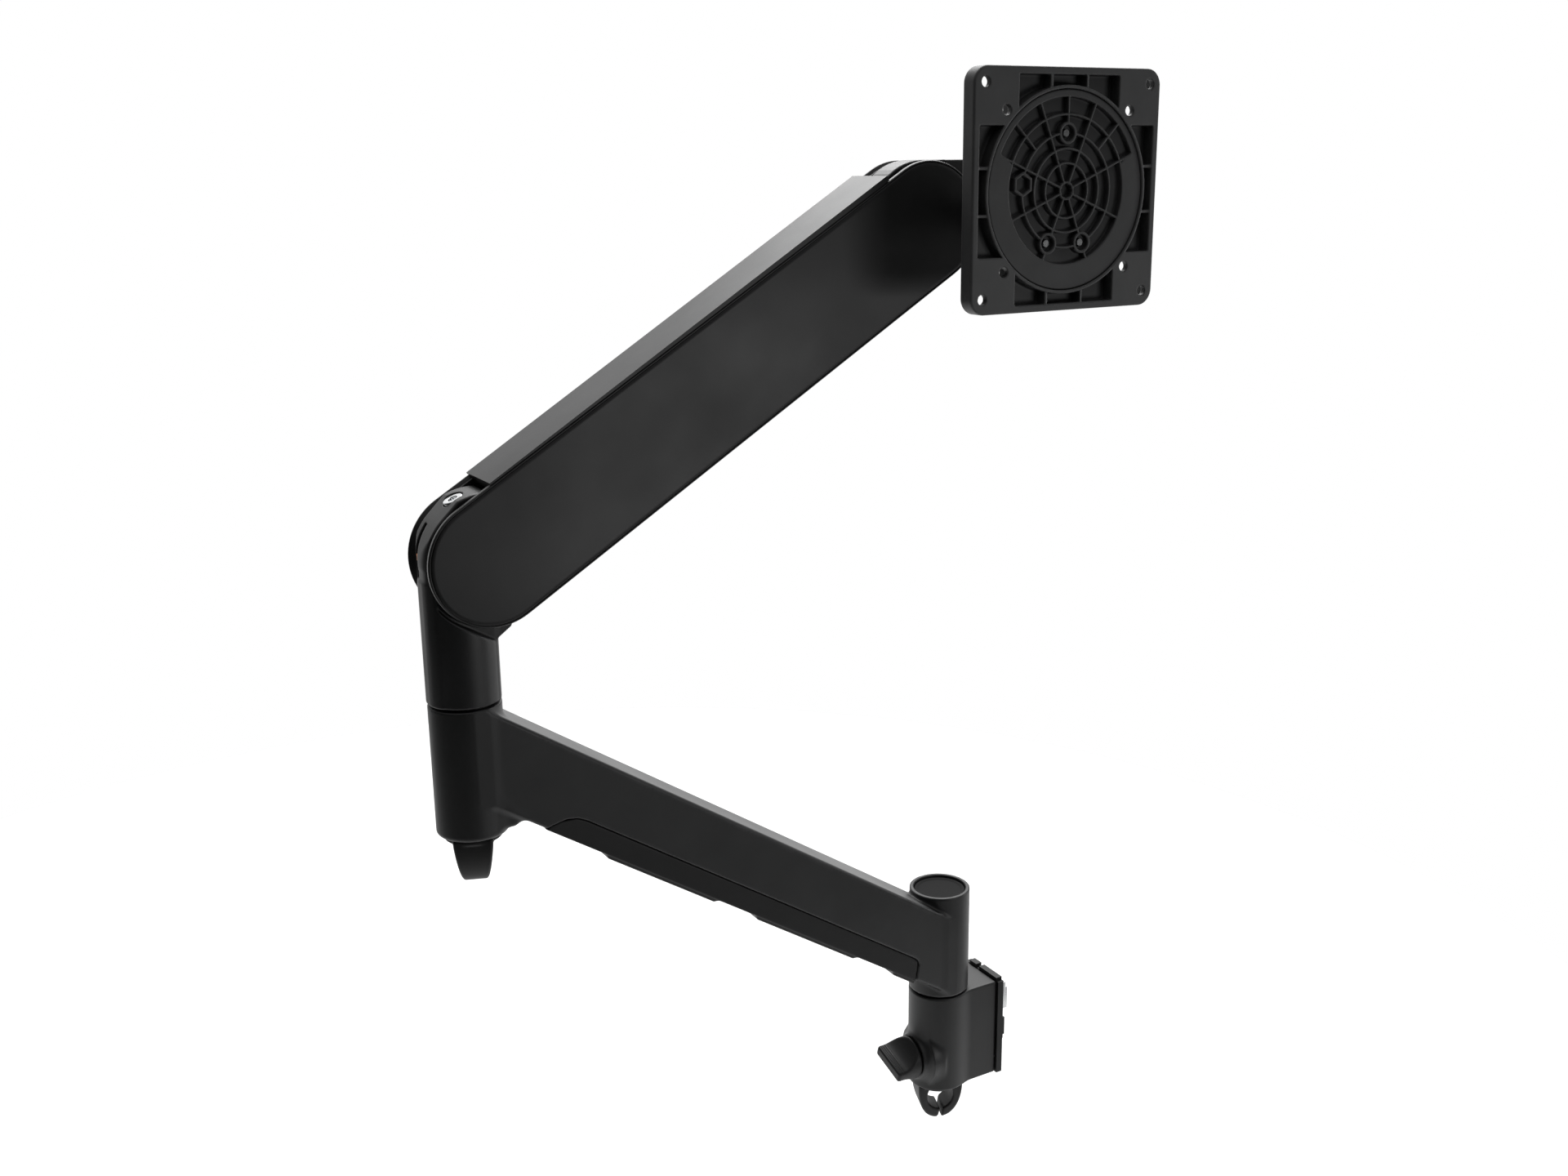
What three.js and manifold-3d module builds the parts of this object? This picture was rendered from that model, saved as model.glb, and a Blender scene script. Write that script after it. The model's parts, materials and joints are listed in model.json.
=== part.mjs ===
// Spring-balanced monitor arm for an accessory rail.
// Millimetres. +Z up, +X outward from the rail, +Y towards the side the monitor plate faces.
// The origin is on the rail contact face of the bracket, at half its height.

import * as THREE from 'three';
import { mergeVertices } from 'three/addons/utils/BufferGeometryUtils.js';
import Module from 'manifold-3d';

const wasm = await Module();
wasm.setup();

// ---------------------------------------------------------------- driving dimensions

const rad = THREE.MathUtils.degToRad;

const GAP = 0.3;                 // clearance between pieces that touch
const TUBE_R = 17.4;             // the vertical arm tubes
const BASE_X = 36;               // axis of the base swivel
const ELBOW_X = 311.1;           // axis of the elbow swivel
const SEAM = 1.2;                // visible joint between two stacked tubes

const BRACKET_HALF = 30;         // half height of the rail bracket
const BASE_TOP = 93.7;           // top of the base tube
const ELBOW_LOW = 191.4;
const ELBOW_TOP = 256.6;
const RUN_SLOPE = rad(33.3);     // slope of the lower arm
const RUN_HEIGHT = 40.3;         // depth of the lower arm, square to its slope
const RUN_HALF = 16.6;           // half width of the lower arm

const PIVOT_X = 298.2;           // main pivot of the balanced arm
const PIVOT_Z = 324.9;
const LINK_LENGTH = 280.2;
const LINK_TILT = rad(31.2);
const LINK_R = 30.5;             // half height of the balanced arm
const LINK_DROP = 18;            // second pivot below the main one
const LOWEST_TILT = rad(-30);

const COVER_OUT = 16.1;          // outer faces of the side covers
const COVER_T = 2.5;
const WEB_OUT = COVER_OUT - COVER_T - GAP;
const WEB_T = 2.5;
const TONGUE_HALF = WEB_OUT - WEB_T - 0.5;          // knuckles that work between the webs
const CAVITY_HALF = 6.3;

const BORE_R = 11.2;             // seats of the swivel bushings
const SPINDLE_R = 7.9;

const PLATE_HALF_X = 56.7;       // monitor plate
const PLATE_HALF_Z = 57.4;
const PLATE_BACK = 61.7;
const PLATE_FRONT = 70.8;
const PLATE_CX = 16.2;
const PLATE_CZ = 485.2;
const DISC_R = 47.2;

const HEAD_X = PIVOT_X - LINK_LENGTH * Math.cos(LINK_TILT);
const HEAD_Z = PIVOT_Z + LINK_LENGTH * Math.sin(LINK_TILT);
const PAN_X = PLATE_CX;
const TILT_Y = 38.5;
const TILT_Z = HEAD_Z + 10;

const ROUND = 32;                // sides of a large cylinder
const SMALL = 12;                // sides of a small one

// Rail bracket and its lock
const BLOCK_HALF = 14.6;
const PLATE_T = 3.9;             // back plate, against the rail
const PLATE_HALF = 16;
const PORT_R = 4.6;              // passage of the rail nut's stud
const LOWER_SCREW_Y = 9;         // screws that hold the back plate
const LOWER_SCREW_Z = -20;
const HEAD_SEAT_R = 4.9;
const NUT_Z = 19;
const NUT_HALF = 14;             // half width of the rail nut
const NUT_DEEP = 4.4;            // how far it reaches behind the back plate
const STUD_R = 4;
const FOOT_Z = -2.5;             // fixed foot below the nut
const FOOT_HALF = 14;
const FOOT_DEEP = 2.9;
const CLAMP_X = 12.5;
const KNOB_Z = -11.5;
const CLIP_SOCKET_R = 6.4;
const SOCKET_DEPTH = 7;
const BUSH_LOW = -18;
const KNOB_FACE = BASE_X + TUBE_R + 1.2;
const KNOB_R = 12.6;
const KNOB_LONG = 17;
const WING_TURN = rad(-17);
const CLIP_HALF = 9.5;           // half depth at the top; the fingers taper to CLIP_TIP
const CLIP_TIP = 6;
const CLIP_DROP = 24.5;
const CLIP_WIDE = 13;
const PLATE_TABS = [[-3, 14], [-12.5, -6]];
const PLATE_TAB_UP = 2;
const THREAD_R = 3.4;            // bores of the lock stud and of the clamp screw
const PORT_TO = 19.5;
const LOWER_SCREW_R = 2.1;
const LOWER_SCREW_TO = 14;
const BOSS_FROM = 8;             // conical boss behind the knob, outward from the base axis
const BOSS_TO = TUBE_R + 0.8;
const BOSS_R = 17.5;
const FOOT_TALL = 6.8;
const FOOT_STEP = 4.4;
const NUT_TALL = 8.5;
const NUT_HOOK = 1.5;            // thickness of the lip that hooks behind the rail
const NUT_HOOK_TOP = 5;
const NUT_SLOT = [-1.6, 3.8];    // slot the clamp screw bears in, from the screw's axis
const NUT_SLOT_HALF = 1.6;
const NUT_SLOT_FLOOR = 2.2;
const CLAMP_R = 3;
const POINT_R = 1.2;
const POINT_END_R = 0.4;
const HEX_SMALL_R = 2;
const HEX_FINE_R = 1.7;
const HEX_DEEP = 4;
const BUSH_FIT = 0.25;
const WASHER_IN = SPINDLE_R + 0.4;
const WASHER_OUT = TUBE_R - 2;
const LOCK_STUD_R = 3;
const KNOB_SOCKET = 9.4;
const WING_SIDE = [[0, KNOB_R], [1.6, KNOB_R], [4.6, 8.4], [8.6, 5.1], [12.6, 3.6], [KNOB_LONG, 3]];
const CLIP_CROWN = 4;
const CLIP_HOLE_WIDE = 8;
const CLIP_HOLE_DROP = 14;
const CLIP_SLIT = [[-2.6, -15], [-0.8, -15], [2.6, -27], [0.6, -27]];
const CLIP_DISC_T = 2.2;
const CLIP_DISC_R = TUBE_R - 3.5;

// Lower arm
const RUN_LOW = 30.5;            // underside of the run on the base axis
const ARM_LOW = BRACKET_HALF + SEAM;
const CAP_R = 15;
const COVER_DEEP = 11;           // how far the cable cover reaches up the sides
const COVER_FROM = 32.6;
const COVER_TO = 290;
const CHANNEL_HALF = 12.4;
const CHANNEL_DEEP = 31;
const ENTRIES = [64.5, 167.5];   // cable entries, along the slope from the base axis
const ENTRY_LONG = 22;
const ENTRY_HALF = 8;
const COVER_SKIN = 0.6;          // the cover stands this far below the run
const TAB_DEEP = 2.4;            // thumb ledges under the cover: start, end, taper at the start
const TABS = [[30, 53, 0], [76, 157, 5], [178, 257, 5]];
const RUN_ROUND = 3;
const RUN_BELOW_TOP = 4;         // the run ends this far below the top of the elbow tube
const GUSSET = [[-8, 3], [1 - TUBE_R, 3], [-TUBE_R - 5.5, 6.5], [-8, 24]];
const FOOT_BEVEL = 2.6;
const CHANNEL_LINE = [[36, -2], [280, -2], [276, 8], [258, CHANNEL_DEEP], [60, CHANNEL_DEEP], [36, 14]];
const BASE_SPINDLE_TOP = 85.4;
const ELBOW_BORE_LOW = 204;
const CAP_SEAT = 3.4;
const CAP_SUNK = 1.4;
const COVER_FLOOR = 1.8;
const COVER_WALL = 2;
const TAB_TAPER = 5;
const TAB_INSET = 1.5;

// Elbow knuckle and tension setting
const KNUCKLE_LOW = ELBOW_TOP + SEAM;
const TONGUE_R = 30.2;
const TONGUE_TOP = 32.2;         // the tongue rises a little towards the top strip
const CLEAR_R = LINK_R + 2;
const SHELL_R = 24;
const STUB_R = 5;
const PIN_R = 3;
const SCREW_ANGLE = rad(67);    // direction of the tension screw from the pivot
const CARRIAGE_AT = 15;
const POINTER_ANGLE = rad(5.9);
const POINTER_Y = -3.8;
const FRONT_SETBACK = 2.7;
const CREST_FROM = rad(46);      // the tongue rises between these directions from the pivot
const CREST_TO = rad(66);
const CREST_END = rad(92);
const KNUCKLE_REAR_R = 16;
const KNUCKLE_REAR = [[-12.5, -24], [-8.8, -32.5]];
const KNUCKLE_SHOULDER = -37.5;
const CAVITY_REAR = [[-9, 38.5], [-60, 40], [-60, -44], [-20, -38], [-5, -31], [9, -27]];
const ELBOW_SPINDLE_TOP = 283.4;
const PRESS_FIT = 0.2;
const TENSION_R = 2.4;
const TENSION_END = 5;
const TENSION_SEAT = 28.9;       // underside of the tension screw's head, from the pivot
const TENSION_HEAD_R = 4.8;
const TENSION_HEAD_T = 2.7;
const HEX_TENSION_R = 2.3;
const CARRIAGE_HALF = new THREE.Vector3(4.6, 3.9, 4);
const TRUNNION_R = 2;
const TRUNNION_OUT = 5.9;
const POINTER_HALF = 1.1;
const POINTER_TIP = 0.045;       // half angles of the pointer, in radians
const POINTER_ROOT = 0.06;
const GROOVE_R = 26.2;
const GROOVE_FROM = rad(-14);
const GROOVE_TO = rad(38);

// Balanced upper arm
const HEAD_R = 30.7;             // the head's tongue, seen past the end of the top strip
const HEAD_TONGUE = 7.7;
const HEAD_WIDE_R = 25.8;        // the head where it works under the strip
const CHANNEL_R = 29.3;
const STRIP_LOW = 26.5;          // underside of the top wall, above the pivot line
const CAP_LOW = LINK_R + GAP;    // the wall's edges lie on the side covers
const CAP_NEAR = 31.7;           // top of the wall at the elbow
const CAP_FAR = 33.5;            // and at the head
const CAP_HALF = 16;
const WEB_END_R = 25;            // the webs are lower round the elbow
const STRIP_FROM = 19.5;
const STRIP_TO = LINK_LENGTH - 10.5;
const UNDER_FROM = 36;
const UNDER_TO = LINK_LENGTH - 34;
const SEAT_AT = 44;              // spring seat, from the main pivot towards the head
const ROD_LONG = 158;
const SPRING_R = 8.6;
const WIRE_R = 1.5;
const TURNS = 9;
const UNDER_LOW = -28.6;
const SEAT_T = 5;
const SEAT_SLOT_HALF = 4.4;
const SEAT_SLOT_LOW = 5.6;
const SEAT_SLOT_TOP = 22.6;
const FORK_T = 1.7;
const FORK_LONG = 15;
const FORK_R = 4;
const ROD_R = 3.4;
const END_NUT_FROM = 2;
const END_NUT_TO = 8;
const END_NUT_R = 8.5;
const LOWER_LINK_R = 5.4;
const LOWER_LINK_HALF = 4.5;
const OPEN_PIVOT_FIT = 0.6;      // the lower link is loose on the head's pin

// Head
const LUG_R = 11;
const HEAD_LOW = -22;
const HEAD_CAVITY = [[-9, -10], [8, -6], [40, 14], [40, -40], [4, -30], [-9, -26.5]];
const HEAD_CAVITY_HALF = 5.2;
const PAN_BOLT_R = 4;
const PAN_HEAD_R = 6.8;
const PAN_HEAD_SEAT = 4;
const HEX_BOLT_R = 2.6;
const SWIVEL_LOW = -11.6;
const SWIVEL_TOP = 14.6;
const SWIVEL_R = 10.2;
const BARREL_R = 10;             // the horizontal barrel the plate tilts on
const BARREL_HALF = 6.5;
const TILT_BOLT_R = 3.8;
const TILT_BOLT_END = 17;
const TILT_HEAD_R = 6.4;
const TILT_NUT_R = 6.8;
const FRICTION_R = 8.8;
const EAR_IN = 7.9;
const EAR_T = 5;
const EAR_R = 10.4;

// Monitor plate
const LIP_Y = PLATE_FRONT - 5.9;             // back face of the disc's seat in the plate
const HOLE_R = 2.5;
const SCREW_ANGLES = [90, 247, 293];
const SCREW_RING = 27;
const PLATE_CORNER = 8;
const PLATE_RIM = 3.5;
const PLATE_FLOOR = 2;
const POCKET_HALF = 30.5;
const RING_OUTER = 49.2;
const RIB_AT = 11;
const RIB_HALF = 0.8;
const HOLE_PATTERNS = [50, 37.5];            // half the spacing of the 100 mm and 75 mm patterns
const SPIGOT_R = 39.5;
const BRACKET_PLATE_R = 44;
const BRACKET_PLATE_T = 4.3;
const WELL_R = 35;
const WELL_DEEP = 2.6;
const CENTRE_BOSS_R = 4.2;
const SCREW_BOSS_R = 4.6;
const HUB_SCREW_R = 1.7;
const HUB_HEAD_R = 3.2;
const HUB_HEAD_T = 2;

// ---------------------------------------------------------------- geometry helpers

const V = (x, y, z) => new THREE.Vector3(x, y, z);

function solid(geometry) {
  const bare = geometry.index ? geometry.toNonIndexed() : geometry.clone();
  bare.deleteAttribute('normal');
  bare.deleteAttribute('uv');
  const merged = mergeVertices(bare, 1e-4);
  return new wasm.Manifold(new wasm.Mesh({
    numProp: 3,
    vertProperties: new Float32Array(merged.attributes.position.array),
    triVerts: new Uint32Array(merged.index.array),
  }));
}

function geometryOf(manifold) {
  const mesh = manifold.getMesh();
  const geometry = new THREE.BufferGeometry();
  geometry.setAttribute('position', new THREE.BufferAttribute(new Float32Array(mesh.vertProperties), 3));
  geometry.setIndex(new THREE.BufferAttribute(new Uint32Array(mesh.triVerts), 1));
  geometry.computeVertexNormals();
  return geometry;
}

// A block between two opposite corners.
function block(low, high) {
  const geometry = new THREE.BoxGeometry(high.x - low.x, high.y - low.y, high.z - low.z);
  geometry.translate((low.x + high.x) / 2, (low.y + high.y) / 2, (low.z + high.z) / 2);
  return solid(geometry);
}

// A round bar, or a cone, from one point to another.
function bar(from, to, radius, sides = SMALL, endRadius = radius) {
  const along = to.clone().sub(from);
  const geometry = new THREE.CylinderGeometry(endRadius, radius, along.length(), sides);
  geometry.applyQuaternion(new THREE.Quaternion().setFromUnitVectors(V(0, 1, 0), along.clone().normalize()));
  geometry.translate((from.x + to.x) / 2, (from.y + to.y) / 2, (from.z + to.z) / 2);
  return solid(geometry);
}

// A vertical round bar.
const post = (x, y, low, high, radius, sides = ROUND) => bar(V(x, y, low), V(x, y, high), radius, sides);

// An upright outline, drawn in X and Z, made thick along Y.
function slab(outline, low, high, round = 0) {
  const geometry = new THREE.ExtrudeGeometry(outline, {
    depth: high - low - 2 * round,
    curveSegments: 9,
    bevelEnabled: round > 0,
    bevelThickness: round,
    bevelSize: round,
    bevelOffset: -round,
    bevelSegments: 2,
  });
  geometry.rotateX(Math.PI / 2);
  geometry.translate(0, high - round, 0);
  return solid(geometry);
}

function polygon(points) {
  return new THREE.Shape(points.map(([x, z]) => new THREE.Vector2(x, z)));
}

// A long round-ended outline around the line from (0, 0) to (-length, 0).
function capsule(length, radius) {
  const outline = new THREE.Shape();
  outline.absarc(0, 0, radius, -Math.PI / 2, Math.PI / 2);
  outline.absarc(-length, 0, radius, Math.PI / 2, Math.PI * 3 / 2);
  outline.closePath();
  return outline;
}

function rounded(halfX, halfZ, corner) {
  const outline = new THREE.Shape();
  outline.absarc(halfX - corner, halfZ - corner, corner, 0, Math.PI / 2);
  outline.absarc(corner - halfX, halfZ - corner, corner, Math.PI / 2, Math.PI);
  outline.absarc(corner - halfX, corner - halfZ, corner, Math.PI, Math.PI * 3 / 2);
  outline.absarc(halfX - corner, corner - halfZ, corner, Math.PI * 3 / 2, Math.PI * 2);
  return outline;
}

// A turned ring around the vertical axis at (x, y): a sleeve or a washer.
function ring(x, y, low, high, inner, outer, sides = ROUND) {
  const profile = [[inner, low], [outer, low], [outer, high], [inner, high], [inner, low]];
  const geometry = new THREE.LatheGeometry(profile.map(([r, z]) => new THREE.Vector2(r, z)), sides);
  geometry.rotateX(Math.PI / 2);
  geometry.translate(x, y, 0);
  return solid(geometry);
}

const both = (make) => make(1).add(make(-1));

// ---------------------------------------------------------------- finishes

const finish = (color, roughness, metalness) => () => (
  new THREE.MeshStandardMaterial({ color, roughness, metalness })
);
const castBlack = finish(0x191a1b, 0.55, 0.1);
const coverBlack = finish(0x131314, 0.5, 0);
const plasticBlack = finish(0x101011, 0.6, 0);
const steel = finish(0x8f9296, 0.35, 1);
const zinc = finish(0xb9bcbe, 0.45, 0.8);
const bushWhite = finish(0xd8d5cc, 0.6, 0);
const pointerOrange = finish(0xd9622b, 0.5, 0);

const arm = new THREE.Group();

function add(parent, name, manifold, material) {
  const mesh = new THREE.Mesh(geometryOf(manifold), material());
  mesh.name = name;
  parent.add(mesh);
}

// ---------------------------------------------------------------- rail bracket

function bracket() {
  let body = post(BASE_X, 0, -BRACKET_HALF, BRACKET_HALF, TUBE_R);
  body = body.add(block(V(PLATE_T + GAP, -BLOCK_HALF, -BRACKET_HALF), V(BASE_X, BLOCK_HALF, BRACKET_HALF)));
  body = body.add(bar(V(BASE_X + BOSS_FROM, 0, KNOB_Z), V(BASE_X + BOSS_TO, 0, KNOB_Z), BOSS_R, 24,
    KNOB_R));
  body = body.subtract(post(BASE_X, 0, BUSH_LOW, BRACKET_HALF + 1, BORE_R));
  body = body.subtract(bar(V(BASE_X, 0, KNOB_Z), V(BASE_X + BOSS_TO + 1, 0, KNOB_Z), THREAD_R));
  body = body.subtract(bar(V(0, 0, NUT_Z), V(PORT_TO, 0, NUT_Z), PORT_R));
  body = body.subtract(bar(V(CLAMP_X, -BLOCK_HALF - 1, NUT_Z), V(CLAMP_X, 1 - STUD_R, NUT_Z), THREAD_R));
  body = body.subtract(post(BASE_X, 0, -BRACKET_HALF - 1, SOCKET_DEPTH - BRACKET_HALF, CLIP_SOCKET_R, SMALL));
  for (const side of [1, -1]) {
    const y = side * LOWER_SCREW_Y;
    const end = V(LOWER_SCREW_TO + 2, y, LOWER_SCREW_Z);
    body = body.subtract(bar(V(0, y, LOWER_SCREW_Z), end, LOWER_SCREW_R + 0.4));
  }
  add(arm, 'bracket_casting', body, castBlack);

  let plate = block(V(0, -PLATE_HALF, -BRACKET_HALF), V(PLATE_T, PLATE_HALF, BRACKET_HALF));
  for (const [from, to] of PLATE_TABS) {
    plate = plate.add(block(V(0, from, BRACKET_HALF - 1), V(PLATE_T, to, BRACKET_HALF + PLATE_TAB_UP)));
  }
  plate = plate.subtract(bar(V(-1, 0, NUT_Z), V(PLATE_T + 1, 0, NUT_Z), PORT_R));
  for (const side of [1, -1]) {
    const y = side * LOWER_SCREW_Y;
    plate = plate.subtract(bar(V(-1, y, LOWER_SCREW_Z), V(PLATE_T + 1, y, LOWER_SCREW_Z), HEAD_SEAT_R));
  }
  add(arm, 'back_plate', plate, plasticBlack);

  const foot = block(V(-FOOT_DEEP, -FOOT_HALF, FOOT_Z - FOOT_TALL), V(-GAP, FOOT_HALF, FOOT_Z + FOOT_TALL))
    .subtract(block(V(-FOOT_DEEP - 1, -FOOT_HALF - 1, FOOT_Z - FOOT_TALL - 1),
      V(1 - FOOT_DEEP, FOOT_HALF + 1, FOOT_Z - FOOT_STEP)));
  add(arm, 'rail_foot', foot, plasticBlack);

  for (const [name, side] of [['near', 1], ['far', -1]]) {
    const at = (x) => V(x, side * LOWER_SCREW_Y, LOWER_SCREW_Z);
    const shank = bar(at(1), at(LOWER_SCREW_TO), LOWER_SCREW_R);
    const head = bar(at(0.4), at(PLATE_T - GAP), HEAD_SEAT_R - 0.4);
    const hex = bar(at(-1), at(2.4), HEX_SMALL_R, 6);
    add(arm, `back_plate_screw_${name}`, shank.add(head).subtract(hex), steel);
  }

  const bush = ring(BASE_X, 0, BUSH_LOW + GAP, BRACKET_HALF, SPINDLE_R + BUSH_FIT, BORE_R - BUSH_FIT, 24);
  add(arm, 'base_bushing', bush, bushWhite);
  const washer = ring(BASE_X, 0, BRACKET_HALF + GAP, BRACKET_HALF + SEAM - GAP, WASHER_IN, WASHER_OUT, 24);
  add(arm, 'base_thrust_washer', washer, plasticBlack);
}

// The nut that hooks into the rail, with its stud, and the screw that draws it in.
function railClamp() {
  const hookAt = NUT_HOOK - NUT_DEEP;
  let nut = block(V(hookAt - 0.1, -NUT_HALF, NUT_Z - NUT_TALL), V(-GAP, NUT_HALF, NUT_Z + NUT_TALL));
  nut = nut.add(block(V(-NUT_DEEP, -NUT_HALF, NUT_Z - NUT_TALL), V(hookAt, NUT_HALF, NUT_Z + NUT_HOOK_TOP)));
  nut = nut.add(bar(V(-1, 0, NUT_Z), V(PORT_TO - 2, 0, NUT_Z), STUD_R));
  const [slotFrom, slotTo] = NUT_SLOT;
  nut = nut.subtract(block(V(CLAMP_X + slotFrom, -STUD_R - 1, NUT_Z - NUT_SLOT_HALF),
    V(CLAMP_X + slotTo, -NUT_SLOT_FLOOR, NUT_Z + NUT_SLOT_HALF)));
  add(arm, 'rail_nut', nut, zinc);
  const at = (y) => V(CLAMP_X, y, NUT_Z);
  const tip = -NUT_SLOT_FLOOR - 0.4;
  const body = bar(at(-BLOCK_HALF + 0.8), at(-STUD_R - 0.6), CLAMP_R);
  const point = bar(at(-STUD_R - 0.7), at(tip), POINT_R, SMALL, POINT_END_R);
  const hex = bar(at(-BLOCK_HALF), at(-BLOCK_HALF + HEX_DEEP), HEX_FINE_R, 6);
  add(arm, 'clamp_screw', body.add(point).subtract(hex), steel);
}

// The wing knob and the threaded stud that presses on the base bushing.

function lock() {
  const tip = V(BASE_X + BORE_R + 0.2, 0, KNOB_Z);
  add(arm, 'lock_stud', bar(tip, V(KNOB_FACE + KNOB_SOCKET - 0.4, 0, KNOB_Z), LOCK_STUD_R), steel);

  const lowerSide = WING_SIDE.map(([x, half]) => [x, -half]);
  const wedge = polygon([...lowerSide, ...[...WING_SIDE].reverse()]);
  const round = bar(V(0, 0, 0), V(KNOB_LONG, 0, 0), KNOB_R, 28);
  const knob = slab(wedge, -KNOB_R, KNOB_R).intersect(round)
    .subtract(bar(V(-1, 0, 0), V(KNOB_SOCKET, 0, 0), LOCK_STUD_R + GAP));
  const holder = new THREE.Group();
  holder.position.set(KNOB_FACE, 0, KNOB_Z);
  holder.rotation.x = WING_TURN;
  arm.add(holder);
  add(holder, 'lock_knob', knob, plasticBlack);
}

// A swivelling open hook that cables are pressed into.

function cableClip(name, x, low, turn) {
  const outline = new THREE.Shape();
  outline.moveTo(-CLIP_WIDE, 0);
  outline.absellipse(0, 0, CLIP_WIDE, CLIP_DROP, Math.PI, Math.PI * 2);
  outline.closePath();
  const hole = new THREE.Shape();
  hole.absellipse(0, -CLIP_CROWN, CLIP_HOLE_WIDE, CLIP_HOLE_DROP, Math.PI, Math.PI * 2);
  hole.closePath();
  let hook = slab(outline, -CLIP_HALF, CLIP_HALF);
  hook = hook.subtract(slab(hole, -CLIP_HALF - 1, CLIP_HALF + 1));
  const slit = polygon(CLIP_SLIT);
  hook = hook.subtract(slab(slit, -CLIP_HALF - 1, CLIP_HALF + 1));
  const taper = polygon([[-CLIP_HALF, 1], [-CLIP_HALF, -3], [-CLIP_TIP, -CLIP_DROP - 1],
    [CLIP_TIP, -CLIP_DROP - 1], [CLIP_HALF, -3], [CLIP_HALF, 1]]);
  hook = hook.intersect(slab(taper, -CLIP_WIDE - 1, CLIP_WIDE + 1).rotate([0, 0, 90]));
  hook = hook.add(post(0, 0, -CLIP_DISC_T, 0, CLIP_DISC_R, 24));
  hook = hook.add(post(0, 0, -1, SOCKET_DEPTH - 1, CLIP_SOCKET_R - GAP, SMALL));
  const holder = new THREE.Group();
  holder.position.set(x, 0, low - GAP);
  holder.rotation.z = turn;
  arm.add(holder);
  add(holder, name, hook, plasticBlack);
}

// ---------------------------------------------------------------- lower arm

const onRun = (manifold) => manifold.rotate([0, -THREE.MathUtils.radToDeg(RUN_SLOPE), 0])
  .translate([BASE_X, 0, RUN_LOW]);

// The outline of the cable cover, in the sloping frame of the run.
function coverOutline(grow) {
  const outline = new THREE.Shape();
  outline.moveTo(COVER_FROM - 1.3 - grow, -3);
  outline.lineTo(COVER_FROM + 3.5 - grow, COVER_DEEP - 4);
  outline.quadraticCurveTo(COVER_FROM + 5 - grow, COVER_DEEP + grow, COVER_FROM + 9, COVER_DEEP + grow);
  outline.lineTo(COVER_TO - 16, COVER_DEEP + grow);
  outline.quadraticCurveTo(COVER_TO - 9, COVER_DEEP + grow, COVER_TO + grow, 2);
  outline.lineTo(COVER_TO + 3 + grow, -3);
  outline.closePath();
  return outline;
}

function lowerArm() {
  const span = (ELBOW_X - BASE_X) / Math.cos(RUN_SLOPE);
  const web = polygon([[0, 0], [span, 0], [span, RUN_HEIGHT], [0, RUN_HEIGHT]]);
  let body = onRun(slab(web, -RUN_HALF, RUN_HALF, RUN_ROUND));
  const keepLow = block(V(BASE_X, -40, ARM_LOW), V(ELBOW_X, 40, ELBOW_TOP - RUN_BELOW_TOP));
  body = body.intersect(keepLow);
  const gusset = polygon(GUSSET.map(([x, z]) => [ELBOW_X + x, ELBOW_LOW + z]));
  body = body.add(slab(gusset, -RUN_HALF + 2, RUN_HALF - 2));
  body = body.add(post(BASE_X, 0, ARM_LOW, BASE_TOP, TUBE_R));
  body = body.add(post(ELBOW_X, 0, ELBOW_LOW + FOOT_BEVEL - 0.1, ELBOW_TOP, TUBE_R));
  const bevel = bar(V(ELBOW_X, 0, ELBOW_LOW), V(ELBOW_X, 0, ELBOW_LOW + FOOT_BEVEL), TUBE_R - FOOT_BEVEL + 0.1,
    ROUND, TUBE_R);
  body = body.add(bevel);
  body = body.subtract(onRun(slab(polygon(CHANNEL_LINE), -CHANNEL_HALF, CHANNEL_HALF)));
  body = body.subtract(onRun(slab(coverOutline(GAP), -20, 20)));
  body = body.subtract(post(BASE_X, 0, ARM_LOW - 1, BASE_SPINDLE_TOP + 0.6, SPINDLE_R + GAP, 24));
  body = body.subtract(post(BASE_X, 0, BASE_TOP - CAP_SEAT, BASE_TOP + 1, CAP_R));
  body = body.subtract(post(ELBOW_X, 0, ELBOW_BORE_LOW, ELBOW_TOP + 1, BORE_R));
  body = body.subtract(post(ELBOW_X, 0, ELBOW_LOW - 1, ELBOW_LOW + SOCKET_DEPTH, CLIP_SOCKET_R, SMALL));
  add(arm, 'lower_arm_casting', body, castBlack);

  add(arm, 'base_spindle', post(BASE_X, 0, BUSH_LOW + 1, BASE_SPINDLE_TOP, SPINDLE_R, 24), steel);
  const cap = post(BASE_X, 0, BASE_TOP - CAP_SEAT + 0.4, BASE_TOP - CAP_SUNK, CAP_R - GAP);
  add(arm, 'base_cap', cap, plasticBlack);

  const bush = ring(ELBOW_X, 0, ELBOW_BORE_LOW + GAP, ELBOW_TOP, SPINDLE_R + BUSH_FIT, BORE_R - BUSH_FIT, 24);
  add(arm, 'elbow_bushing', bush, bushWhite);
  const washer = ring(ELBOW_X, 0, ELBOW_TOP + GAP, ELBOW_TOP + SEAM - GAP, WASHER_IN, WASHER_OUT, 24);
  add(arm, 'elbow_thrust_washer', washer, plasticBlack);
}

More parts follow.
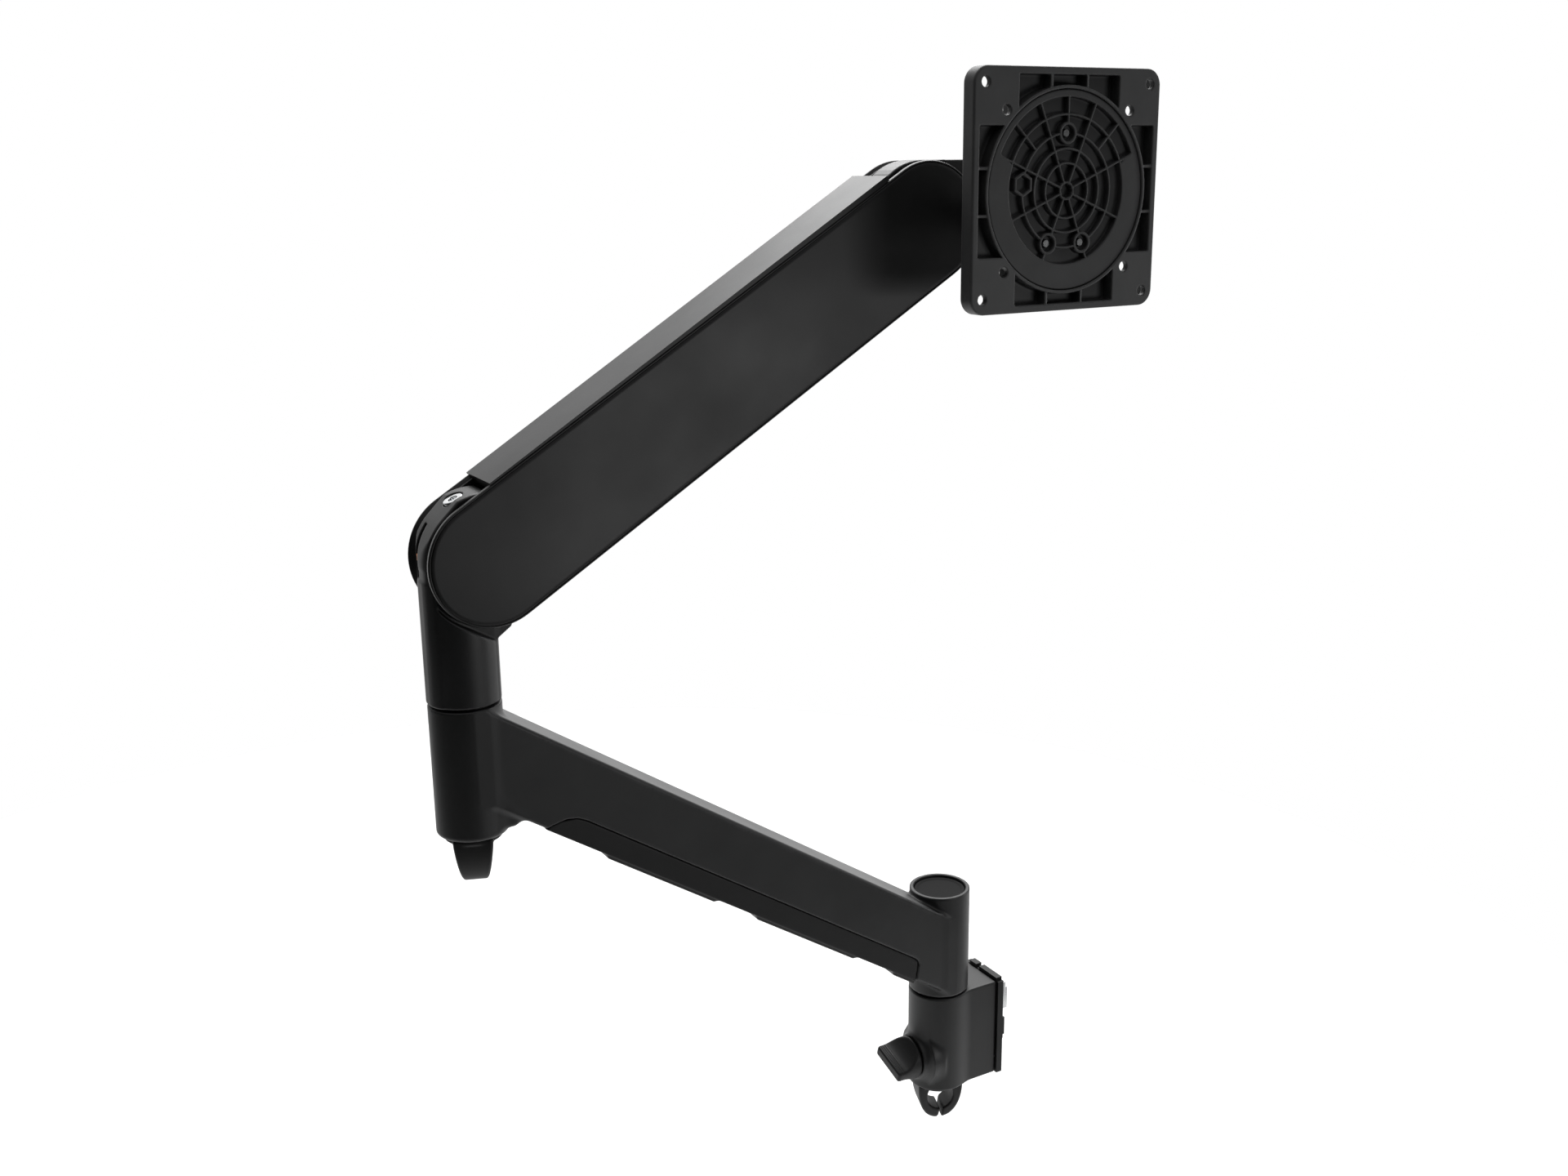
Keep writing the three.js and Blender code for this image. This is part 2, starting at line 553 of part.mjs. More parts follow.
// The clip-on cover that closes the cable channel under the lower arm.
function cableCover() {
  let cover = slab(coverOutline(0), -RUN_HALF, RUN_HALF);
  const end = COVER_TO + 10;
  const under = polygon([[0, -COVER_SKIN], [end, -COVER_SKIN], [end, COVER_DEEP + 1], [0, COVER_DEEP + 1]]);
  let limit = slab(under, -RUN_HALF, RUN_HALF);
  for (const [start, stop, taper] of TABS) {
    const tab = polygon([[start + taper, -TAB_DEEP], [stop - TAB_TAPER, -TAB_DEEP],
      [stop, 0.5], [start, 0.5]]);
    limit = limit.add(slab(tab, -RUN_HALF + TAB_INSET, RUN_HALF - TAB_INSET));
  }
  cover = cover.intersect(limit);
  const [from, to] = [COVER_FROM + 6, COVER_TO - 9];
  const hollow = polygon([[from, COVER_FLOOR], [to, COVER_FLOOR],
    [to, COVER_DEEP + 9], [from, COVER_DEEP + 9]]);
  cover = cover.subtract(slab(hollow, -RUN_HALF + COVER_WALL, RUN_HALF - COVER_WALL));
  for (const middle of ENTRIES) {
    const low = V(middle - ENTRY_LONG / 2, -ENTRY_HALF, -5);
    const high = V(middle + ENTRY_LONG / 2, ENTRY_HALF, 5);
    cover = cover.subtract(block(low, high));
  }
  const floorBlock = block(V(0, -40, ARM_LOW + 4), V(ELBOW_X - TUBE_R - 2, 40, ELBOW_TOP));
  add(arm, 'cable_cover', onRun(cover).intersect(floorBlock), plasticBlack);
}

// ---------------------------------------------------------------- elbow knuckle

function knuckleOutline() {
  const front = ELBOW_X - PIVOT_X - TUBE_R + FRONT_SETBACK;
  const back = ELBOW_X - PIVOT_X + TUBE_R - 0.6;
  const low = KNUCKLE_LOW - PIVOT_Z;
  const outline = new THREE.Shape();
  outline.moveTo(back, low);
  outline.lineTo(back, -3);
  outline.absarc(0, 0, TONGUE_R, rad(-2), CREST_FROM);
  outline.absarc(0, 0, TONGUE_TOP, CREST_TO, CREST_END);
  outline.lineTo(-6, KNUCKLE_REAR_R + 1);
  outline.absarc(0, 0, KNUCKLE_REAR_R, rad(115), rad(190));
  for (const [x, z] of KNUCKLE_REAR) outline.lineTo(x, z);
  outline.lineTo(front, KNUCKLE_SHOULDER);
  outline.lineTo(front, low);
  outline.closePath();
  return outline;
}

// What the covers need beside the tongue: their round end, and their lower edge at full drop.
function sweepOutline() {
  const outline = new THREE.Shape();
  const foot = V(-Math.sin(LOWEST_TILT) * CLEAR_R, 0, -Math.cos(LOWEST_TILT) * CLEAR_R);
  const along = V(-Math.cos(LOWEST_TILT), 0, Math.sin(LOWEST_TILT));
  outline.moveTo(60, 0);
  outline.lineTo(CLEAR_R, 0);
  outline.absarc(0, 0, CLEAR_R, 0, Math.atan2(foot.z, foot.x), true);
  outline.lineTo(foot.x + along.x * 60, foot.z + along.z * 60);
  outline.lineTo(-60, 60);
  outline.lineTo(60, 60);
  outline.closePath();
  return outline;
}

function cavityOutline() {
  const outline = new THREE.Shape();
  outline.absarc(0, 0, SHELL_R, rad(-22), rad(72));
  for (const [x, z] of CAVITY_REAR) outline.lineTo(x, z);
  outline.closePath();
  return outline;
}

const screwDirection = V(Math.cos(SCREW_ANGLE), 0, Math.sin(SCREW_ANGLE));
const alongScrew = (distance) => V(PIVOT_X, 0, PIVOT_Z).addScaledVector(screwDirection, distance);

function knuckle() {
  const atPivot = (manifold) => manifold.translate([PIVOT_X, 0, PIVOT_Z]);
  let column = post(ELBOW_X, 0, KNUCKLE_LOW, PIVOT_Z, TUBE_R);
  for (const side of [1, -1]) {
    const low = side > 0 ? TONGUE_HALF : -30;
    column = column.subtract(atPivot(slab(sweepOutline(), low, low + 30 - TONGUE_HALF)));
  }
  let tongue = atPivot(slab(knuckleOutline(), -TONGUE_HALF, TONGUE_HALF));
  const round = post(ELBOW_X, 0, KNUCKLE_LOW, PIVOT_Z + 40, TUBE_R)
    .add(block(V(PIVOT_X - 40, -30, PIVOT_Z - 37), V(ELBOW_X + 8, 30, PIVOT_Z + 40)))
    .add(block(V(PIVOT_X - 40, -30, PIVOT_Z + 14), V(ELBOW_X + 40, 30, PIVOT_Z + 40)));
  tongue = tongue.intersect(round);
  column = column.intersect(block(V(0, -40, 0), V(400, 40, PIVOT_Z - 8)));
  let body = column.add(tongue);
  body = body.subtract(atPivot(slab(cavityOutline(), -CAVITY_HALF, CAVITY_HALF)));
  body = body.subtract(post(ELBOW_X, 0, KNUCKLE_LOW - 1, ELBOW_SPINDLE_TOP + 0.6, SPINDLE_R + GAP, 24));
  body = body.subtract(bar(V(PIVOT_X, -20, PIVOT_Z), V(PIVOT_X, 20, PIVOT_Z), STUB_R + PRESS_FIT, 16));
  const lowPivot = PIVOT_Z - LINK_DROP;
  body = body.subtract(bar(V(PIVOT_X, -20, lowPivot), V(PIVOT_X, 20, lowPivot), PIN_R + PRESS_FIT));
  body = body.subtract(bar(alongScrew(20), alongScrew(40), TENSION_R + 0.4));
  body = body.subtract(bar(alongScrew(TENSION_SEAT - GAP), alongScrew(40), TENSION_HEAD_R + 0.4, 20));
  const groove = new THREE.Shape();
  groove.absarc(0, 0, 40, GROOVE_FROM, GROOVE_TO);
  groove.absarc(0, 0, GROOVE_R, GROOVE_TO, GROOVE_FROM, true);
  const grooveHalf = POINTER_HALF + GAP;
  body = body.subtract(atPivot(slab(groove, POINTER_Y - grooveHalf, POINTER_Y + grooveHalf)));
  add(arm, 'elbow_knuckle', body, castBlack);

  add(arm, 'elbow_spindle', post(ELBOW_X, 0, ELBOW_BORE_LOW + 4, ELBOW_SPINDLE_TOP, SPINDLE_R, 24), steel);
  for (const [name, side] of [['near', 1], ['far', -1]]) {
    const at = (y) => V(PIVOT_X, side * y, PIVOT_Z);
    const stub = bar(at(CAVITY_HALF + 0.1), at(WEB_OUT - 0.1), STUB_R, 16);
    add(arm, `main_pivot_${name}`, stub, steel);
  }
  const pinHalf = TONGUE_HALF - 0.1;
  const linkPin = bar(V(PIVOT_X, -pinHalf, lowPivot), V(PIVOT_X, pinHalf, lowPivot), PIN_R);
  add(arm, 'lower_link_pin', linkPin, steel);
}

// The screw, the carriage it moves along the knuckle, and the pointer that shows the setting.
function tension() {
  const top = TENSION_SEAT + TENSION_HEAD_T;
  const head = bar(alongScrew(TENSION_SEAT), alongScrew(top), TENSION_HEAD_R, 20);
  const shank = bar(alongScrew(TENSION_END), alongScrew(TENSION_SEAT + 0.1), TENSION_R);
  const hex = bar(alongScrew(TENSION_SEAT + 0.7), alongScrew(top + 1), HEX_TENSION_R, 6);
  add(arm, 'tension_screw', head.add(shank).subtract(hex), zinc);

  const turn = THREE.MathUtils.radToDeg(Math.PI / 2 - SCREW_ANGLE);
  const centre = alongScrew(CARRIAGE_AT);
  const size = CARRIAGE_HALF;
  let carriage = block(V(-size.x, -size.y, -size.z), size).rotate([0, turn, 0]);
  carriage = carriage.add(bar(V(0, -TRUNNION_OUT, 0), V(0, TRUNNION_OUT, 0), TRUNNION_R));
  carriage = carriage.translate([centre.x, 0, centre.z]);
  carriage = carriage.subtract(bar(alongScrew(0), alongScrew(30), TENSION_R + GAP));
  add(arm, 'tension_carriage', carriage, steel);

  const flag = new THREE.Shape();
  flag.absarc(0, 0, TONGUE_R - 0.2, POINTER_ANGLE - POINTER_TIP, POINTER_ANGLE + POINTER_TIP);
  flag.absarc(0, 0, GROOVE_R + 0.4, POINTER_ANGLE + POINTER_ROOT, POINTER_ANGLE - POINTER_ROOT, true);
  const pointer = slab(flag, POINTER_Y - POINTER_HALF, POINTER_Y + POINTER_HALF)
    .translate([PIVOT_X, 0, PIVOT_Z]);
  const round = post(ELBOW_X, 0, PIVOT_Z - 20, PIVOT_Z + 20, TUBE_R - 0.2);
  add(arm, 'tension_pointer', pointer.intersect(round), pointerOrange);
}

// ---------------------------------------------------------------- balanced upper arm

function upperArm() {
  const link = new THREE.Group();
  link.position.set(PIVOT_X, 0, PIVOT_Z);
  link.rotation.y = LINK_TILT;
  arm.add(link);

  let channel = both((side) => {
    const low = side > 0 ? WEB_OUT - WEB_T : -WEB_OUT;
    return slab(capsule(LINK_LENGTH, CHANNEL_R), low, low + WEB_T);
  });
  const shoulder = slab(capsule(0, CHANNEL_R + 1), -20, 20).subtract(slab(capsule(0, WEB_END_R), -20, 20))
    .intersect(block(V(-STRIP_FROM, -20, -UNDER_FROM), V(40, 20, 40)));
  channel = channel.subtract(shoulder);
  channel = channel.add(block(V(-STRIP_TO, -WEB_OUT, STRIP_LOW), V(-STRIP_FROM, WEB_OUT, CAP_LOW + 0.2)));
  const cap = polygon([[-STRIP_TO, CAP_LOW], [-STRIP_FROM, CAP_LOW],
    [-STRIP_FROM, CAP_NEAR], [-STRIP_TO, CAP_FAR]]);
  channel = channel.add(slab(cap, -CAP_HALF, CAP_HALF));
  const tongueRoom = bar(V(-LINK_LENGTH, -HEAD_TONGUE - 0.5, 0), V(-LINK_LENGTH, HEAD_TONGUE + 0.5, 0),
    HEAD_R + 0.6, 40);
  channel = channel.subtract(tongueRoom);
  for (const x of [0, -LINK_LENGTH]) {
    channel = channel.subtract(bar(V(x, -20, 0), V(x, 20, 0), STUB_R + GAP, 16));
  }
  add(link, 'upper_channel', channel, castBlack);

  for (const [name, side] of [['near', 1], ['far', -1]]) {
    const low = side > 0 ? COVER_OUT - COVER_T : -COVER_OUT;
    const cover = slab(capsule(LINK_LENGTH, LINK_R), low, low + COVER_T);
    add(link, `${name}_cover`, cover, coverBlack);
  }

  const underHalf = TONGUE_HALF - 0.4;
  const under = block(V(-UNDER_TO, -underHalf, UNDER_LOW), V(-UNDER_FROM, underHalf, UNDER_LOW + 2));
  add(link, 'underside_cover', under, plasticBlack);

  const seatHalf = TONGUE_HALF - GAP;
  let seat = block(V(-SEAT_AT - SEAT_T, -seatHalf, 2), V(-SEAT_AT, seatHalf, STRIP_LOW - GAP));
  seat = seat.subtract(block(V(-SEAT_AT - 9, -SEAT_SLOT_HALF, SEAT_SLOT_LOW),
    V(-SEAT_AT + 4, SEAT_SLOT_HALF, SEAT_SLOT_TOP)));
  add(link, 'spring_seat', seat, zinc);

  const q = [CARRIAGE_AT * Math.cos(SCREW_ANGLE), CARRIAGE_AT * Math.sin(SCREW_ANGLE)];
  const qx = q[0] * Math.cos(LINK_TILT) - q[1] * Math.sin(LINK_TILT);
  const qz = q[0] * Math.sin(LINK_TILT) + q[1] * Math.cos(LINK_TILT);
  let rod = both((side) => {
    const low = side > 0 ? TRUNNION_OUT - FORK_T : -TRUNNION_OUT;
    return slab(capsule(FORK_LONG, FORK_R), low, low + FORK_T);
  });
  rod = rod.subtract(bar(V(0, -9, 0), V(0, 9, 0), TRUNNION_R + 0.25));
  rod = rod.add(block(V(-FORK_LONG - 4, -TRUNNION_OUT, -FORK_R), V(-FORK_LONG - 0.5, TRUNNION_OUT, FORK_R)));
  rod = rod.add(bar(V(-FORK_LONG - 3, 0, 0), V(-ROD_LONG, 0, 0), ROD_R));
  add(link, 'spring_rod', rod.translate([qx, 0, qz]), steel);

  const nutAt = qx - ROD_LONG;
  const nutTop = nutAt + END_NUT_TO;
  const nut = bar(V(nutAt + END_NUT_FROM, 0, qz), V(nutTop, 0, qz), END_NUT_R, 24)
    .subtract(bar(V(nutAt, 0, qz), V(nutTop + 1, 0, qz), ROD_R + GAP));
  add(link, 'spring_end_nut', nut, zinc);

  class Helix extends THREE.Curve {
    getPoint(t, target = new THREE.Vector3()) {
      const from = -SEAT_AT - SEAT_T - GAP - WIRE_R;
      const to = nutTop + GAP + WIRE_R;
      const angle = t * TURNS * Math.PI * 2;
      const out = SPRING_R - WIRE_R;
      return target.set(from + (to - from) * t, out * Math.cos(angle), qz + out * Math.sin(angle));
    }
  }
  const wire = new THREE.Shape();
  wire.absarc(0, 0, WIRE_R, 0, Math.PI * 2);
  const coil = new THREE.ExtrudeGeometry(wire, {
    steps: TURNS * 8, curveSegments: 3, extrudePath: new Helix(), bevelEnabled: false,
  });
  add(link, 'balance_spring', solid(coil), steel);

  const dropX = LINK_DROP * Math.sin(LINK_TILT);
  const dropZ = -LINK_DROP * Math.cos(LINK_TILT);
  let lower = slab(capsule(LINK_LENGTH, LOWER_LINK_R), -LOWER_LINK_HALF, LOWER_LINK_HALF);
  lower = lower.subtract(bar(V(0, -9, 0), V(0, 9, 0), PIN_R + 0.2));
  lower = lower.subtract(bar(V(-LINK_LENGTH, -9, 0), V(-LINK_LENGTH, 9, 0), PIN_R + OPEN_PIVOT_FIT));
  add(link, 'lower_link', lower.translate([dropX, 0, dropZ]), castBlack);
}

// ---------------------------------------------------------------- head

function head() {
  const group = new THREE.Group();
  group.position.set(HEAD_X, 0, HEAD_Z);
  arm.add(group);
  const pan = PAN_X - HEAD_X;

  const headOutline = (radius, shoulder) => {
    const outline = new THREE.Shape();
    outline.moveTo(pan, HEAD_R);
    outline.lineTo(shoulder, HEAD_R);
    outline.lineTo(shoulder, Math.min(HEAD_R, radius) - 0.01);
    outline.absarc(0, 0, radius, Math.PI / 2, rad(-60), true);
    outline.lineTo(-14, HEAD_LOW - 2);
    outline.lineTo(pan, HEAD_LOW);
    outline.closePath();
    return outline;
  };
  let body = slab(headOutline(HEAD_R, -0.1), -HEAD_TONGUE, HEAD_TONGUE);
  body = body.add(slab(headOutline(HEAD_WIDE_R, -12), -TONGUE_HALF, TONGUE_HALF));
  body = body.add(post(pan, 0, HEAD_LOW, HEAD_R, LUG_R, 28));
  body = body.subtract(block(V(pan - 20, -20, SWIVEL_LOW - 0.4), V(pan + LUG_R + 0.8, 20, SWIVEL_TOP + 0.4)));
  body = body.subtract(slab(polygon(HEAD_CAVITY), -HEAD_CAVITY_HALF, HEAD_CAVITY_HALF));
  body = body.subtract(bar(V(0, -20, 0), V(0, 20, 0), STUB_R + PRESS_FIT, 16));
  body = body.subtract(bar(V(0, -20, -LINK_DROP), V(0, 20, -LINK_DROP), PIN_R + PRESS_FIT));
  body = body.subtract(post(pan, 0, -40, 40, PAN_BOLT_R + GAP, SMALL));
  body = body.subtract(post(pan, 0, HEAD_R - PAN_HEAD_SEAT, 40, PAN_HEAD_R + 0.4, 24));
  add(group, 'head_knuckle', body, castBlack);

  for (const [name, side] of [['near', 1], ['far', -1]]) {
    const stub = bar(V(0, side * (CAVITY_HALF + 0.1), 0), V(0, side * (WEB_OUT - 0.1), 0), STUB_R, 16);
    add(group, `head_pivot_${name}`, stub, steel);
  }
  const pin = bar(V(0, 0.1 - TONGUE_HALF, -LINK_DROP), V(0, TONGUE_HALF - 0.1, -LINK_DROP), PIN_R);
  add(group, 'head_link_pin', pin, steel);

  const panBolt = post(pan, 0, HEAD_LOW + 0.4, HEAD_R - 1, PAN_BOLT_R, SMALL)
    .add(post(pan, 0, HEAD_R - PAN_HEAD_SEAT + GAP, HEAD_R - 1, PAN_HEAD_R, 24))
    .subtract(post(pan, 0, HEAD_R - 3, HEAD_R + 1, HEX_BOLT_R, 6));
  add(group, 'pan_bolt', panBolt, steel);

  const tiltZ = TILT_Z - HEAD_Z;
  const across = (from, to, radius, sides) => (
    bar(V(pan + from, TILT_Y, tiltZ), V(pan + to, TILT_Y, tiltZ), radius, sides)
  );
  let swivel = post(pan, 0, SWIVEL_LOW, SWIVEL_TOP, SWIVEL_R, 28);
  swivel = swivel.add(block(V(pan - BARREL_HALF, 6, -7), V(pan + BARREL_HALF, TILT_Y - 6, SWIVEL_TOP)));
  swivel = swivel.add(across(-BARREL_HALF, BARREL_HALF, BARREL_R, 28));
  swivel = swivel.subtract(post(pan, 0, -20, 20, PAN_BOLT_R + GAP, SMALL));
  swivel = swivel.subtract(across(-20, 20, TILT_BOLT_R + GAP));
  add(group, 'pan_swivel', swivel, castBlack);

  for (const [name, side] of [['left', 1], ['right', -1]]) {
    const washer = across(side * (BARREL_HALF + GAP), side * (EAR_IN - GAP), FRICTION_R, 28)
      .subtract(across(-20, 20, TILT_BOLT_R + 0.4));
    add(group, `friction_washer_${name}`, washer, bushWhite);
  }
  const headFrom = EAR_IN + EAR_T + GAP;
  const tiltBolt = across(-TILT_BOLT_END, TILT_BOLT_END - 0.2, TILT_BOLT_R)
    .add(across(headFrom, TILT_BOLT_END, TILT_HEAD_R, 20))
    .subtract(across(headFrom + 1.2, TILT_BOLT_END + 1, HEX_BOLT_R, 6));
  add(group, 'tilt_bolt', tiltBolt, steel);
  const tiltNut = across(-headFrom, 0.2 - TILT_BOLT_END, TILT_NUT_R, 6)
    .subtract(across(-20, 0, TILT_BOLT_R + GAP));
  add(group, 'tilt_nut', tiltNut, steel);
}

// ---------------------------------------------------------------- monitor plate

const onPlate = (manifold) => manifold.translate([PLATE_CX, 0, PLATE_CZ]);

function discBar(low, high, radius, sides = 40) {
  return bar(V(0, low, 0), V(0, high, 0), radius, sides);
}

function monitorPlate() {
  let plate = slab(rounded(PLATE_HALF_X, PLATE_HALF_Z, PLATE_CORNER), PLATE_BACK, PLATE_FRONT, 0);
  plate = plate.subtract(discBar(LIP_Y, PLATE_FRONT + 1, DISC_R + 0.4));
  plate = plate.subtract(discBar(PLATE_BACK - 1, LIP_Y + 1, SPIGOT_R + 0.5));
  for (let quarter = 0; quarter < 4; quarter += 1) {
    const reach = (quarter % 2 ? PLATE_HALF_X : PLATE_HALF_Z) - PLATE_RIM;
    let pocket = block(V(-POCKET_HALF, PLATE_BACK + PLATE_FLOOR, 20), V(POCKET_HALF, PLATE_FRONT + 1, reach));
    pocket = pocket.subtract(discBar(PLATE_BACK, PLATE_FRONT + 2, RING_OUTER));
    for (const x of [-RIB_AT, RIB_AT]) {
      pocket = pocket.subtract(block(V(x - RIB_HALF, PLATE_BACK, 0), V(x + RIB_HALF, PLATE_FRONT - 0.6, 60)));
    }
    plate = plate.subtract(pocket.rotate([0, quarter * 90, 0]));
  }
  for (const half of HOLE_PATTERNS) {
    for (const [sx, sz] of [[1, 1], [1, -1], [-1, 1], [-1, -1]]) {
      const [x, z] = [sx * half, sz * half];
      plate = plate.subtract(bar(V(x, PLATE_BACK - 1, z), V(x, PLATE_FRONT + 1, z), HOLE_R, 8));
    }
  }
  add(arm, 'monitor_plate', onPlate(plate), castBlack);

  const screwAt = SCREW_ANGLES.map((degrees) => {
    const angle = rad(degrees);
    return [SCREW_RING * Math.cos(angle), SCREW_RING * Math.sin(angle)];
  });
  const face = PLATE_FRONT - 0.7;
  const bracketBack = PLATE_BACK - BRACKET_PLATE_T;
  let disc = discBar(LIP_Y + GAP, face, DISC_R).subtract(discBar(face - WELL_DEEP, face + 1, WELL_R));
  disc = disc.add(discBar(LIP_Y + 1, face, CENTRE_BOSS_R, SMALL));
  let bracketPlate = discBar(bracketBack, PLATE_BACK - GAP, BRACKET_PLATE_R);
  bracketPlate = bracketPlate.add(discBar(PLATE_BACK - 1, LIP_Y, SPIGOT_R));
  for (const [x, z] of screwAt) {
    const hole = bar(V(x, PLATE_BACK - 9, z), V(x, PLATE_FRONT + 9, z), HUB_SCREW_R + GAP);
    disc = disc.add(bar(V(x, LIP_Y + 1, z), V(x, face - 1.2, z), SCREW_BOSS_R));
    disc = disc.subtract(hole);
    disc = disc.subtract(bar(V(x, face - 2.4, z), V(x, face + 9, z), SCREW_BOSS_R - 1));
    bracketPlate = bracketPlate.subtract(hole);
  }
  add(arm, 'hub_disc', onPlate(disc), plasticBlack);
  screwAt.forEach(([x, z], index) => {
    const shank = bar(V(x, bracketBack - 1, z), V(x, face - 1.5, z), HUB_SCREW_R);
    const head = bar(V(x, bracketBack - GAP - HUB_HEAD_T, z), V(x, bracketBack - GAP, z), HUB_HEAD_R);
    const hex = bar(V(x, bracketBack - 4, z), V(x, bracketBack - 1.3, z), HEX_FINE_R, 6);
    add(arm, `hub_screw_${index + 1}`, onPlate(shank.add(head).subtract(hex)), zinc);
  });

  const tiltDrop = TILT_Z - PLATE_CZ;
  for (const side of [1, -1]) {
    const from = side > 0 ? EAR_IN : -EAR_IN - EAR_T;
    const to = from + EAR_T;
    let ear = bar(V(from, TILT_Y, tiltDrop), V(to, TILT_Y, tiltDrop), EAR_R, 28);
    const half = EAR_R - 0.2;
    ear = ear.add(block(V(from, TILT_Y, tiltDrop - half), V(to, bracketBack + 1, tiltDrop + half)));
    ear = ear.subtract(bar(V(from - 1, TILT_Y, tiltDrop), V(to + 1, TILT_Y, tiltDrop), TILT_BOLT_R + GAP));
    bracketPlate = bracketPlate.add(ear);
  }
  add(arm, 'tilt_bracket', onPlate(bracketPlate), castBlack);
}

// ---------------------------------------------------------------- assembly

bracket();
railClamp();
lock();
cableClip('base_clip', BASE_X, -BRACKET_HALF, rad(-20));
lowerArm();
cableCover();
cableClip('elbow_clip', ELBOW_X, ELBOW_LOW, rad(70));
knuckle();
tension();
upperArm();
head();
monitorPlate();

export default arm;
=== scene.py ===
import json
import math

import bpy
import numpy as np
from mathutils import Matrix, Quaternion, Vector


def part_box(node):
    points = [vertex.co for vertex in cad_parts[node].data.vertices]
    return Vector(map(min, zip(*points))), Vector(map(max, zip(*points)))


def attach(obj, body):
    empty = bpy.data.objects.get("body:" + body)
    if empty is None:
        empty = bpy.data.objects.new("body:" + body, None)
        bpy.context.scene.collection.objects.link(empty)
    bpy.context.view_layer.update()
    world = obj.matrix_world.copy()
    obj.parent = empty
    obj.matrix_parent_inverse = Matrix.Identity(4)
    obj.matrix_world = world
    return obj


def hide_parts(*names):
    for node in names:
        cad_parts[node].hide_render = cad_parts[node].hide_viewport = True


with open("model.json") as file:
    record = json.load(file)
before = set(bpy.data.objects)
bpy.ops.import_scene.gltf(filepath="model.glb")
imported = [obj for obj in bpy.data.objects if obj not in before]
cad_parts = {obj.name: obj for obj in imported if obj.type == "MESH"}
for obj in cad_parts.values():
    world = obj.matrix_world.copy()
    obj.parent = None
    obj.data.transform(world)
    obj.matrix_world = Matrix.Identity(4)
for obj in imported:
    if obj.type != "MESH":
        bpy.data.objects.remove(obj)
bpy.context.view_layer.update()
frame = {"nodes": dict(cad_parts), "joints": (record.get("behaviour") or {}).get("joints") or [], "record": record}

# ------------------------------------------------------------------ sizes read from the frame, in mm

MM = 0.001
COARSE = 1.0
JOINT = {joint["name"]: joint for joint in frame["joints"]}


def pivot(name):
    return [value / MM for value in JOINT[name]["pos_m"]]


def extent(node):
    low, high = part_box(node)
    return np.array(low) / MM, np.array(high) / MM


BASE_X = pivot("base_swivel")[0]
ELBOW_X = pivot("elbow_swivel")[0]
PIVOT_X, _, PIVOT_Z = pivot("lift")
HEAD_X, _, HEAD_Z = pivot("head_level")
PAN_X = pivot("pan_swivel_turn")[0]
PLATE_X, _, PLATE_Z = pivot("plate_turn")
LINK_LENGTH = math.hypot(PIVOT_X - HEAD_X, HEAD_Z - PIVOT_Z)
LINK_TILT = math.atan2(HEAD_Z - PIVOT_Z, PIVOT_X - HEAD_X)

# ------------------------------------------------------------------ sizes that several pieces share

TUBE_R = 17.4            # the vertical tubes
BUSH_BORE_R = 11.2       # seats of the swivel bushings
CLIP_BORE_R = 6.4        # sockets of the cable clips
CLIP_BORE_DEEP = 7
STUB_BORE_R = 5.2        # bores of the main pivots
PIN_BORE_R = 3.15        # bores of the lower link's pins
LINK_DROP = 18           # the lower link's pins, below the main pivots
TONGUE_HALF = 10.3       # half width of the knuckles, between the webs of the upper arm
ASIDE = 20               # past either side of the arm
BEYOND = 2               # how far a bore is cut past a face

# ------------------------------------------------------------------ distance fields, in mm
# X, Y and Z are arrays that broadcast against each other. A field is negative inside the solid.

SHARP = 0.01             # corner radius of an edge that is left sharp
NOT_ZERO = 1e-12


def far(a, b):
    return np.sqrt(a * a + b * b)


def edge_round(a, b, radius):
    """Where two slabs of distance a and b meet, with their outer corner rounded."""
    a = a + radius
    b = b + radius
    return np.minimum(np.maximum(a, b), 0) + far(np.maximum(a, 0), np.maximum(b, 0)) - radius


def blend(a, b, soft):
    h = np.maximum(soft - np.abs(a - b), 0) / soft
    return np.minimum(a, b) - h * h * soft * 0.25


def join(soft, *fields):
    """All the fields together, with fillets."""
    total = fields[0]
    for field in fields[1:]:
        total = blend(total, field, soft)
    return total


def cut(soft, body, *tools):
    """The body without the tools, with softened edges."""
    for tool in tools:
        body = -blend(-body, tool, soft)
    return body


def meet(soft, a, b):
    """What two fields have in common, with softened edges."""
    return -blend(-a, -b, soft)


def within(value, low, high):
    """Distance to a stretch of one axis."""
    return np.abs(value - (low + high) / 2) - (high - low) / 2


def block(x, y, z, low, high, radius=SHARP):
    flat = edge_round(within(x, low[0], high[0]), within(z, low[2], high[2]), radius)
    return edge_round(flat, within(y, low[1], high[1]), radius)


def drum(across, along, low, high, radius, corner=SHARP):
    """A round bar: across is the distance from its axis, along the place on it."""
    return edge_round(across - radius, within(along, low, high), corner)


COS_30 = 0.866


def hexagon(x, z):
    """Half the distance across the flats of the hexagon through a point."""
    return np.maximum(np.abs(x), np.abs(x) * 0.5 + np.abs(z) * COS_30)


def outline(x, z, points):
    """Signed distance to a closed polygon."""
    best = None
    inside = None
    count = len(points)
    for index in range(count):
        ax, az = points[index]
        bx, bz = points[(index + 1) % count]
        dx, dz = bx - ax, bz - az
        t = np.clip(((x - ax) * dx + (z - az) * dz) / (dx * dx + dz * dz + NOT_ZERO), 0, 1)
        gap = (x - ax - t * dx) ** 2 + (z - az - t * dz) ** 2
        crosses = (az > z) != (bz > z)
        side = x < ax + (z - az) * dx / (dz if dz else NOT_ZERO)
        hit = crosses & side
        best = gap if best is None else np.minimum(best, gap)
        inside = hit if inside is None else inside ^ hit
    return np.where(inside, -1, 1) * np.sqrt(best)


